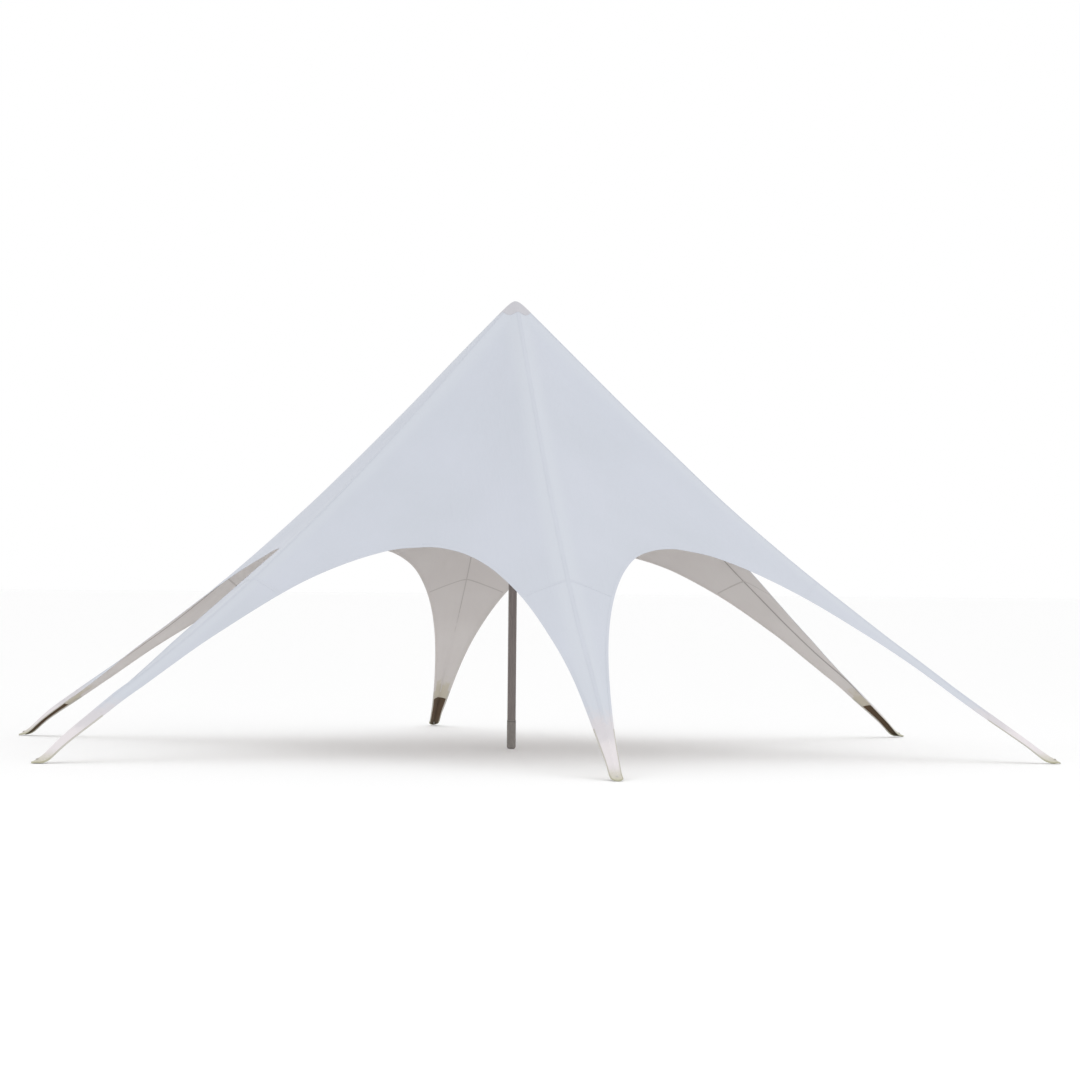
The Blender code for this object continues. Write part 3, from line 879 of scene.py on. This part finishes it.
def station(x, y, side_x, side_y):
    """A place on a line in plan, with the direction in which distances are measured."""

    def place(distance, lift):
        held = max(distance, 0.0015)
        spot, normal = on_canopy(x + side_x * held, y + side_y * held)
        if distance < held:
            inner, _ = on_canopy(x + side_x * (held + 0.004), y + side_y * (held + 0.004))
            spot = spot + (spot - inner) * ((held - distance) / 0.004)
        return spot + normal * lift

    return place


def middle_station(x, y, side_x, side_y):
    """The same for a strip that lies on both sides of its line."""

    def place(distance, lift):
        spot, normal = on_canopy(x + side_x * distance, y + side_y * distance)
        return spot + normal * lift

    return place


def sewn_piece(name, swept, material, under=None):
    """A mesh from a sweep or a patch. The faces that lie under the cloth can have a material of their own."""
    points, faces, travelled, sideways, lifts = swept
    mesh = bpy.data.meshes.new(name)
    mesh.from_pydata([tuple(point) for point in points], [], faces)
    mesh.update()
    import bmesh

    filled = bmesh.new()
    filled.from_mesh(mesh)
    bmesh.ops.recalc_face_normals(filled, faces=filled.faces)
    filled.to_mesh(mesh)
    filled.free()
    cloth_map(mesh, sideways, travelled)
    mesh.shade_smooth()
    mesh.set_sharp_from_angle(angle=math.radians(50))
    mesh.materials.append(material)
    if under:
        mesh.materials.append(under)
        for face in mesh.polygons:
            face.material_index = int(max(lifts[corner] for corner in face.vertices) < 0)
    piece = bpy.data.objects.new(name, mesh)
    bpy.context.scene.collection.objects.link(piece)
    return piece


# %% The lines that the seams follow
def ridge_line(leg, start, end, step=0.035):
    stations = []
    for along in np.arange(start, end, step):
        x, y = in_plan(leg, along, 0)
        side = np.subtract(in_plan(leg, along, 1), (x, y))
        stations.append(middle_station(x, y, *side))
    return stations


def hem_line(arch, end_along=4.41, step=0.03):
    """The hem between leg number arch and the next one, from leg to leg."""
    reach = float(arch_offset(end_along))
    offsets = np.linspace(-reach, reach, int(2 * 3.9 / step) | 1)
    middle = math.radians(-90) + (arch - 1) * 2 * HALF_SECTOR + HALF_SECTOR
    out, side = np.array([math.cos(middle), math.sin(middle)]), np.array([-math.sin(middle), math.cos(middle)])
    plan = [out * arch_outward(q) + side * q for q in offsets]
    stations = []
    for index, spot in enumerate(plan):
        ahead = plan[min(index + 1, len(plan) - 1)] - plan[max(index - 1, 0)]
        inward = np.array([-ahead[1], ahead[0]]) / np.hypot(*ahead)
        stations.append(station(*spot, *inward))
    return stations


def edge_line(leg, start=4.405, step=0.02):
    """The edge of a leg's end, down one side, round the nose and back up the other."""
    stops = np.arange(start, TIP_RADIUS - TIP_ROUNDING - 0.001, step)
    side = [(stop, float(half_width(stop))) for stop in stops]
    turns = np.linspace(0, math.pi, 25)
    reach = TIP_RADIUS - TIP_ROUNDING * (1 - np.sin(turns))
    nose = list(zip(reach, unrounded_width(reach) * np.cos(turns)))
    ring = side + nose + [(stop, -width) for stop, width in reversed(side)]
    plan = np.array([in_plan(leg, *spot) for spot in ring])
    stations = []
    for index, spot in enumerate(plan):
        ahead = plan[min(index + 1, len(plan) - 1)] - plan[max(index - 1, 0)]
        inward = np.array([ahead[1], -ahead[0]]) / np.hypot(*ahead)
        stations.append(station(*spot, *inward))
    return stations


def cross_line(leg, along, step=0.02):
    width = float(half_width(along)) - 0.002
    stations = []
    for across in np.linspace(-width, width, int(2 * width / step)):
        x, y = in_plan(leg, along, across)
        side = np.subtract(in_plan(leg, along + 1, across), (x, y))
        stations.append(middle_station(x, y, *side))
    return stations


# %% [markdown]
# The ridge seams carry the pull from the apex to the pegs, so they are covered with a tape outside. Inside, each
# seam is a narrow strip painted dark grey as painted shadow, the shade in the seam's fold. On the far leg and on the
# cross seams that painted shadow is fainter. The hem is a folded band that wraps the cloth's edge.

# %% Sew the seams and hems
TAPE = 0.0006
INSIDE = -SHEET - 0.0003


def tape_section(half, steps=4, outside=True):
    """A thin flat strip on both sides of its line."""
    low, high = (0.0003, 0.0003 + TAPE) if outside else (INSIDE - TAPE, INSIDE)
    across = np.linspace(-half, half, steps + 1)
    return [(d, low) for d in across[::-1]] + [(d, high) for d in across]


def hem_section(width=0.022):
    """A band folded round the edge of the cloth: over it, round it and back under it."""
    outer = [(width, 0.0003), (width, 0.0012), (width / 2, 0.0013), (0.002, 0.0013)]
    edge = [(-0.0012, 0.0006), (-0.0012, INSIDE - 0.0003)]
    inner = [(0.002, INSIDE - 0.001), (width / 2, INSIDE - 0.001), (width, INSIDE - 0.0009), (width, INSIDE)]
    fold = [(width / 2, INSIDE), (0.001, INSIDE), (-0.0003, INSIDE), (-0.0003, 0.0003), (0.001, 0.0003), (width / 2, 0.0003)]
    return outer + edge + inner + fold


ridge_tapes = sewn_piece(
    "ridge_tapes", sweep([ridge_line(leg, 0.13, 4.43) for leg in LEGS], tape_section(0.018)), seam_white
)
hems = sewn_piece("hems", sweep([hem_line(arch) for arch in LEGS], hem_section()), seam_white, hem_inside)
cross_tapes = sewn_piece(
    "cross_tapes", sweep([cross_line(leg, 2.85) for leg in LEGS], tape_section(0.012, 2)), seam_white
)
# The inside seam strips are painted shadow lines, the shade in each seam's fold.
inner_ridge_seams = sewn_piece(
    "inner_ridge_seams",
    sweep([ridge_line(leg, 0.1, 4.54) for leg in LEGS if leg != 4], tape_section(0.009, 2, outside=False)),
    seam_shadow_dark,
)
flat_ridge_seam = sewn_piece(
    "flat_ridge_seam", sweep([ridge_line(4, 0.1, 4.54)], tape_section(0.005, 2, outside=False)), seam_shadow_faint
)
inner_cross_seams = sewn_piece(
    "inner_cross_seams",
    sweep([cross_line(leg, 2.85) for leg in LEGS], tape_section(0.006, 2, outside=False)),
    seam_shadow_faint,
)
inner_seam_shadows = [inner_ridge_seams, flat_ridge_seam, inner_cross_seams]
print("hem points:", len(hems.data.vertices))

# %% [markdown]
# ## The leg ends
# Each leg ends in a doubled sleeve of warmer white canvas with a rounded tongue. Under it lies a dark brown lining.
# Both are grids over the leg's plan, laid on the canopy's two faces and thickened.


# %% Lay a patch on a leg
def patch(name, leg, start, bulge, inset, lift, thickness, material, rows=64, columns=12):
    """A patch on a leg, from start to the nose. A negative lift lays it under the canopy. The bulge moves its first
    edge outwards on the ridge."""
    points, faces, across_values, along_values = [], [], [], []
    end = TIP_RADIUS - inset
    nose = end - TIP_ROUNDING * (1 - np.sin(np.linspace(0, math.pi / 2, 9)[1:]))
    stops = np.concatenate([np.linspace(start, end - TIP_ROUNDING, rows), nose])
    for out in (thickness, 0.0):
        for stop in stops:
            for column in range(columns + 1):
                share = 2 * column / columns - 1
                start_share = max(1 - (stop - start) / 0.3, 0)
                along = stop + bulge * (1 - abs(share)) * start_share**2
                across = (float(half_width(along)) - inset) * share
                spot, normal = on_canopy(*in_plan(leg, along, across))
                points.append(spot + normal * (lift + out))
                across_values.append(across)
                along_values.append(along * 1.2)
    count = len(stops) * (columns + 1)
    width = columns + 1
    for row in range(len(stops) - 1):
        for column in range(columns):
            corner = row * width + column
            quad = (corner, corner + width, corner + width + 1, corner + 1)
            faces.append(quad)
            faces.append(tuple(count + i for i in reversed(quad)))
    for row in range(len(stops) - 1):
        for column in (0, columns):
            corner = row * width + column
            faces.append((corner, corner + width, corner + width + count, corner + count))
    for column in range(columns):
        for row in (0, len(stops) - 1):
            corner = row * width + column
            faces.append((corner, corner + 1, corner + 1 + count, corner + count))
    lifts = [lift] * len(points)
    return sewn_piece(name, (points, faces, np.array(along_values), np.array(across_values), lifts), material)


SLEEVE_START = 4.4
leg_ends = [patch(f"leg_end_{leg}", leg, SLEEVE_START, 0.0, 0.0008, 0.0004, 0.0014, leg_end_white) for leg in LEGS]
linings = [patch(f"lining_{leg}", leg, 4.53, 0.07, 0.002, -SHEET - 0.0018, 0.0015, lining_brown) for leg in LEGS]
END_TOP, END_UNDER = 0.0018, -SHEET - 0.0018


def end_section(width=0.009):
    """A narrower band that wraps the sleeve, the cloth and the lining."""
    low, high = END_UNDER - 0.0002, END_TOP + 0.0002
    outer = [(width, high), (width, high + 0.0008), (0.002, high + 0.0009), (-0.0012, high)]
    inner = [(-0.0012, low), (0.002, low - 0.0008), (width, low - 0.0007), (width, low)]
    return outer + inner + [(0.001, low), (-0.0002, low), (-0.0002, high), (0.001, high)]


end_bindings = sewn_piece("end_bindings", sweep([edge_line(leg) for leg in LEGS], end_section()), end_binding)
print("leg ends:", len(leg_ends), "linings:", len(linings))

# %% [markdown]
# ## The apex
# A round patch closes the canopy over the pole's head. It is a disc in plan, laid on the canopy and thickened.

# %% Lay the apex patch
CAP_RADIUS = 0.148


def apex_patch():
    rings, sides = 14, 96
    points, faces = [], []
    for lift in (0.0022, 0.0004):
        spot, _ = on_canopy(0.0001, 0.0001)
        points.append(spot + Vector((0, 0, lift)))
        for ring in range(1, rings + 1):
            for side in range(sides):
                turn = 2 * math.pi * side / sides
                reach = CAP_RADIUS * (ring / rings) ** 1.3
                spot, normal = on_canopy(reach * math.cos(turn), reach * math.sin(turn))
                points.append(spot + normal * lift)
    count = 1 + rings * sides
    for base in (0, count):
        for side in range(sides):
            faces.append((base, base + 1 + side, base + 1 + (side + 1) % sides))
            for ring in range(rings - 1):
                a = base + 1 + ring * sides + side
                b = base + 1 + ring * sides + (side + 1) % sides
                faces.append((a, a + sides, b + sides, b))
    for side in range(sides):
        a, b = count - sides + side, count - sides + (side + 1) % sides
        faces.append((a, b, b + count, a + count))
    flat = np.array([[point.x, point.y] for point in points])
    return points, faces, flat[:, 1], flat[:, 0], [1] * len(points)


apex_cap = sewn_piece("apex_patch", apex_patch(), apex_white)

# %% [markdown]
# ## The canopy's thickness
# The strips are laid, so the canopy can now become a real sheet. Solidify gives it an inner face, and a material
# offset paints that face with the warm grey of the inside.

# %% Thicken the canopy
canopy.data.materials.append(canopy_inside)
skin = canopy.modifiers.new("thickness", "SOLIDIFY")
skin.thickness = SHEET
skin.offset = -1
skin.use_even_offset = False
skin.material_offset = 1
skin.material_offset_rim = 0

# %% [markdown]
# ## Stitches
# Rows of thread hold every tape, hem and patch. One stitch is a small bead of a few faces. A Geometry Nodes tree
# puts it along lines at a steady pitch and turns it to follow both the line and the cloth's normal.


# %% The tree that sews
def stitch_tree():
    tree = bpy.data.node_groups.new("sew_stitches", "GeometryNodeTree")
    add_socket(tree, "Geometry", "Geometry", "INPUT")
    add_socket(tree, "Geometry", "Geometry", "OUTPUT")
    add_socket(tree, "Pitch", "Float", "INPUT", 0.012)
    add_socket(tree, "Length", "Float", "INPUT", 0.0075)
    add_socket(tree, "Thread", "Float", "INPUT", 0.0011)
    add_socket(tree, "Material", "Material", "INPUT")
    size = put(tree, "NodeGroupInput").outputs
    curve = put(tree, "GeometryNodeMeshToCurve", {"Mesh": size["Geometry"]}).outputs[0]
    curve = put(tree, "GeometryNodeResampleCurve", {"Curve": curve, "Length": size["Pitch"]}, mode="LENGTH").outputs[0]
    up = put(tree, "GeometryNodeInputNamedAttribute", ["up"], data_type="FLOAT_VECTOR").outputs[0]
    ahead = put(tree, "GeometryNodeInputTangent").outputs[0]
    turn = put(tree, "FunctionNodeAxesToRotation", [ahead, up], primary_axis="X", secondary_axis="Z").outputs[0]
    bead = put(tree, "GeometryNodeMeshIcoSphere", {"Radius": 0.5, "Subdivisions": 1}).outputs[0]
    scale = put(tree, "ShaderNodeCombineXYZ", [size["Length"], size["Thread"], size["Thread"]]).outputs[0]
    sewn = put(
        tree,
        "GeometryNodeInstanceOnPoints",
        {"Points": curve, "Instance": bead, "Rotation": turn, "Scale": scale},
    ).outputs[0]
    sewn = put(tree, "GeometryNodeRealizeInstances", [sewn]).outputs[0]
    sewn = put(tree, "GeometryNodeSetShadeSmooth", [sewn]).outputs[0]
    sewn = put(tree, "GeometryNodeSetMaterial", {"Geometry": sewn, "Material": size["Material"]}).outputs[0]
    put(tree, "NodeGroupOutput", [sewn])
    return tree


def thread_lines(name, rows):
    """Each row is (stations, distance, lift). The points keep the cloth's normal as an attribute."""
    points, edges, ups = [], [], []
    for stations, distance, lift in rows:
        for index, place in enumerate(stations):
            low, high = place(distance, 0.0), place(distance, 1.0)
            if index:
                edges.append((len(points) - 1, len(points)))
            points.append(tuple(place(distance, lift)))
            ups.append(tuple(high - low))
    mesh = bpy.data.meshes.new(name)
    mesh.from_pydata(points, edges, [])
    up = mesh.attributes.new("up", "FLOAT_VECTOR", "POINT")
    up.data.foreach_set("vector", np.array(ups, np.float32).reshape(-1))
    return mesh


def circle_line(radius, sides=120):
    turns = np.linspace(0, 2 * math.pi, sides)
    return [middle_station(radius * math.cos(t), radius * math.sin(t), 0.0, 0.0) for t in turns]


# %% Sew the rows
SEW = stitch_tree()
ridge_rows = [(ridge_line(leg, 0.15, 4.4), side, 0.0013) for leg in LEGS for side in (-0.013, 0.013)]
hem_rows = [(hem_line(arch), 0.017, 0.0014) for arch in LEGS]
cross_rows = [(cross_line(leg, 2.85), side, 0.0013) for leg in LEGS for side in (-0.008, 0.008)]
end_rows = [(edge_line(leg), 0.0065, 0.0031) for leg in LEGS]
end_rows += [(cross_line(leg, along), 0.0, 0.0019) for leg in LEGS for along in (4.412, 4.442)]
end_rows += [(ridge_line(leg, 4.45, 4.9), side, 0.0019) for leg in LEGS for side in (-0.012, 0.012)]
cap_rows = [(circle_line(CAP_RADIUS - 0.008), 0.0, 0.0023)]
stitches = []
for name, rows in (
    ("ridge_stitches", ridge_rows),
    ("hem_stitches", hem_rows),
    ("seam_stitches", cross_rows + end_rows + cap_rows),
):
    lines = thread_lines(name + "_lines", rows)
    made = run_tree(name, lines, SEW, {"Material": thread_lightened})
    spots = np.array([vertex.co for vertex in made.data.vertices])
    cloth_map(made.data, spots[:, 0], spots[:, 1])
    stitches.append(made)
    print(name, len(made.data.polygons), "faces")

# %% [markdown]
# ## Pegs and eyelets
# A steel peg goes through an eyelet in each tongue. Only its head shows above the ground. Both are turned shapes:
# a profile is spun about the upright axis. One profile serves all six legs, so a Geometry Nodes tree repeats it.


# %% Turn a profile
def turned_mesh(name, profile, sides=48):
    """The profile runs from the top down its outer side, as (radius, height) pairs. It is closed if it has no
    point on the axis."""
    import bmesh

    shape = bmesh.new()
    verts = [shape.verts.new((radius, 0, height)) for radius, height in profile]
    edges = [shape.edges.new(pair) for pair in zip(verts, verts[1:])]
    if profile[0][0] > 0:
        edges.append(shape.edges.new((verts[-1], verts[0])))
    bmesh.ops.spin(shape, geom=verts + edges, cent=(0, 0, 0), axis=(0, 0, 1), angle=2 * math.pi, steps=sides, use_merge=True)
    bmesh.ops.remove_doubles(shape, verts=shape.verts, dist=0.00002)
    bmesh.ops.recalc_face_normals(shape, faces=shape.faces)
    mesh = bpy.data.meshes.new(name)
    shape.to_mesh(mesh)
    shape.free()
    mesh.shade_smooth()
    mesh.set_sharp_from_angle(angle=math.radians(35))
    return mesh


PEG_DISTANCE = 4.972


def place_tree():
    """Sets a piece on every point of the input, turned by the point's own angle."""
    tree = bpy.data.node_groups.new("one_on_each_leg", "GeometryNodeTree")
    add_socket(tree, "Geometry", "Geometry", "INPUT")
    add_socket(tree, "Geometry", "Geometry", "OUTPUT")
    add_socket(tree, "Piece", "Object", "INPUT")
    add_socket(tree, "Material", "Material", "INPUT")
    size = put(tree, "NodeGroupInput").outputs
    piece = put(tree, "GeometryNodeObjectInfo", {"Object": size["Piece"]}).outputs["Geometry"]
    turn = put(tree, "GeometryNodeInputNamedAttribute", ["turn"], data_type="FLOAT_VECTOR").outputs[0]
    copies = put(
        tree, "GeometryNodeInstanceOnPoints", {"Points": size["Geometry"], "Instance": piece, "Rotation": turn}
    ).outputs[0]
    copies = put(tree, "GeometryNodeRealizeInstances", [copies]).outputs[0]
    copies = put(tree, "GeometryNodeSetMaterial", {"Geometry": copies, "Material": size["Material"]}).outputs[0]
    put(tree, "NodeGroupOutput", [copies])
    return tree


def peg_points():
    """One point on each nose, with the turn that stands a piece upright on the cloth there."""
    spots, turns = [], []
    for leg in LEGS:
        spot, normal = on_canopy(*in_plan(leg, PEG_DISTANCE, 0))
        spots.append(spot + normal * END_TOP)
        turns.append(tuple(normal.to_track_quat("Z", "X").to_euler()))
    mesh = bpy.data.meshes.new("peg_points")
    mesh.from_pydata([tuple(spot) for spot in spots], [], [])
    turn = mesh.attributes.new("turn", "FLOAT_VECTOR", "POINT")
    turn.data.foreach_set("vector", np.array(turns, np.float32).reshape(-1))
    return mesh, spots


PLACE = place_tree()
TONGUE_TOP = peg_points()[1][0].z
print("the nose is", round(TONGUE_TOP * 1000, 1), "mm high at the peg")
peg_profile = [
    (0, 0.005),
    (0.005, 0.0047),
    (0.0085, 0.0036),
    (0.0105, 0.0018),
    (0.0105, 0.0006),
    (0.0098, 0.0002),
    (0.0055, 0.0002),
    (0.0053, 0.004 - TONGUE_TOP),
    (0, 0.004 - TONGUE_TOP),
]
eyelet_profile = [
    (0.0062, 0.0003),
    (0.0075, 0.0004),
    (0.0115, 0.0002),
    (0.0132, -0.0003),
    (0.0132, -0.0008),
    (0.0068, -0.0001),
    (0.0068, -0.0056),
    (0.0062, -0.0056),
]
small_pieces = []
for name, profile, material in (("pegs", peg_profile, peg_steel), ("eyelets", eyelet_profile, eyelet_metal)):
    single = bpy.data.objects.new(name + "_single", turned_mesh(name + "_single", profile))
    bpy.context.scene.collection.objects.link(single)
    small_pieces.append(run_tree(name, peg_points()[0], PLACE, {"Piece": single, "Material": material}))
    bpy.data.objects.remove(single)
pegs, eyelets = small_pieces
print("pegs and eyelets:", len(pegs.data.polygons), len(eyelets.data.polygons), "faces")

# %% [markdown]
# ## The pole
# The pole is three tubes that slide into each other, with a rubber boot at its foot. At each joint the upper tube
# carries a collar. All of it is turned, with fine chamfers that catch the light.

# %% Turn the pole
POLE = 0.038
WALL = 0.003


def tube_profile(bottom, top, radius=POLE, chamfer=0.0012):
    inner = radius - WALL
    return [
        (inner, top),
        (radius - chamfer, top),
        (radius, top - chamfer),
        *[(radius, top - chamfer + (bottom + 2 * chamfer - top) * i / 12) for i in range(1, 12)],
        (radius, bottom + chamfer),
        (radius - chamfer, bottom),
        (inner, bottom),
    ]


def hard_piece(name, mesh, material):
    mesh.materials.append(material)
    piece = bpy.data.objects.new(name, mesh)
    bpy.context.scene.collection.objects.link(piece)
    return piece


pole_lower = hard_piece("pole_lower", turned_mesh("pole_lower", tube_profile(0.0125, 1.4995), 72), pole_grey)
pole_middle = hard_piece("pole_middle", turned_mesh("pole_middle", tube_profile(1.5005, 2.7195), 72), pole_grey)
pole_upper = hard_piece("pole_upper", turned_mesh("pole_upper", tube_profile(2.7205, 3.8995), 72), pole_grey)


def collar_profile(height):
    return [
        (POLE + 0.0002, height + 0.03),
        (POLE + 0.0018, height + 0.0295),
        (POLE + 0.0026, height + 0.028),
        (POLE + 0.0026, height + 0.004),
        (POLE + 0.0018, height + 0.002),
        (POLE + 0.0002, height + 0.0015),
    ]


collars = [
    hard_piece(f"collar_{i}", turned_mesh(f"collar_{i}", collar_profile(height), 72), collar_grey)
    for i, height in enumerate((1.5, 2.72), 1)
]

# %% The rubber boot
BOOT = 0.0402
boot_profile = [(0, 0.012), (POLE + 0.0003, 0.012), (POLE + 0.0003, 0.2585), (BOOT - 0.0008, 0.2595), (BOOT, 0.2585)]
boot_profile += [(BOOT, 0.25), (BOOT - 0.0012, 0.2485), (BOOT - 0.0012, 0.2435), (BOOT, 0.242)]
boot_profile += [(BOOT, 0.2), (BOOT, 0.14), (BOOT, 0.08), (BOOT, 0.045)]
for step in range(13):
    angle = math.radians(90 * step / 12)
    boot_profile.append((BOOT - 0.022 * (1 - math.cos(angle)), 0.024 * (1 - math.sin(angle))))
boot_profile.append((0, 0))
pole_boot = hard_piece("pole_boot", turned_mesh("pole_boot", boot_profile, 72), foot_rubber)
clamp_profile = [
    (BOOT - 0.0009, 0.2484),
    (BOOT - 0.0002, 0.2482),
    (BOOT - 0.0002, 0.2438),
    (BOOT - 0.0009, 0.2436),
]
boot_band = hard_piece("boot_band", turned_mesh("boot_band", clamp_profile, 72), collar_grey)
nodes["pole_head"].data.materials.clear()
nodes["pole_head"].data.materials.append(pole_grey)
print("pole pieces made")

# %% [markdown]
# ## Riding on the model
# The tent has one body, the root, and every piece rides on it. The model's own pieces that the new ones stand in
# for are hidden, and the flat area of one leg end is printed.


# %% Tie the pieces to the model
def spread_area(piece):
    return sum(face.area for face in piece.data.polygons)


slots = {
    "canopy_white": [canopy, ridge_tapes, hems, cross_tapes, *inner_seam_shadows, *stitches],
    "tip_white": [*leg_ends, apex_cap, end_bindings],
    "lining_brown": linings,
    "pole_grey": [pole_lower, pole_middle, pole_upper, *collars, boot_band],
    "foot_grey": [pole_boot],
    "peg_steel": [pegs, eyelets],
}
for slot, pieces in slots.items():
    for piece in pieces:
        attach(piece, "root")
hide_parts(*[f"canopy_panel_{leg}" for leg in LEGS], *[f"leg_panel_{leg}" for leg in LEGS])
for leg, end, lining in zip(LEGS, leg_ends, linings):
    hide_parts(f"leg_tip_{leg}")
    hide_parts(f"tip_lining_{leg}")
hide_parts("apex_cap")
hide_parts("pole_lower_section")
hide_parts("pole_middle_section")
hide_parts("pole_upper_section")
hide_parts("pole_foot")
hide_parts(*[f"ground_peg_{leg}" for leg in LEGS])
print("leg end area:", round(spread_area(leg_ends[0]) / 2, 3), "m2")

# %% [markdown]
# ## Floor and light
# The tent stands on a plain pale floor under an even, bright sky. Two large soft lamps shape the folds a little.
# The world's light does most of the work, because the photograph was lit by an overcast day.


# %% Floor, sky and lamps
def plain(name, colour, roughness):
    made, _, shader = new_material(name)
    shader.inputs["Base Color"].default_value = (*colour, 1)
    shader.inputs["Roughness"].default_value = roughness
    shader.inputs["Specular IOR Level"].default_value = 0.1
    return made


floor_mesh = bpy.data.meshes.new("floor")
floor_mesh.from_pydata([(-300, -300, 0), (300, -300, 0), (300, 300, 0), (-300, 300, 0)], [], [(0, 1, 2, 3)])
floor_mesh.materials.append(plain("floor_pale", (0.98, 0.98, 0.98), 0.9))
floor = bpy.data.objects.new("floor", floor_mesh)
bpy.context.scene.collection.objects.link(floor)
floor.location.z = -0.0005

world = bpy.data.worlds.new("even_sky")
bpy.context.scene.world = world
world.use_nodes = True
world.node_tree.nodes["Background"].inputs[0].default_value = (1.0, 1.0, 1.0, 1)
world.node_tree.nodes["Background"].inputs[1].default_value = 1.0


def lamp(name, place, target, size, power, colour=(1, 1, 1)):
    light = bpy.data.lights.new(name, "AREA")
    light.shape = "DISK"
    light.size = size
    light.energy = power
    light.color = colour
    holder = bpy.data.objects.new(name, light)
    bpy.context.scene.collection.objects.link(holder)
    holder.location = place
    aim = Vector(target) - Vector(place)
    holder.rotation_euler = aim.to_track_quat("-Z", "Y").to_euler()
    return holder


lamp("soft_key", (12, -18, 12), (0, 0, 1.5), 12, 320)
lamp("soft_fill", (-8, -22, 5), (0, 1, 0.5), 12, 150)
bpy.context.scene.view_settings.view_transform = "Standard"
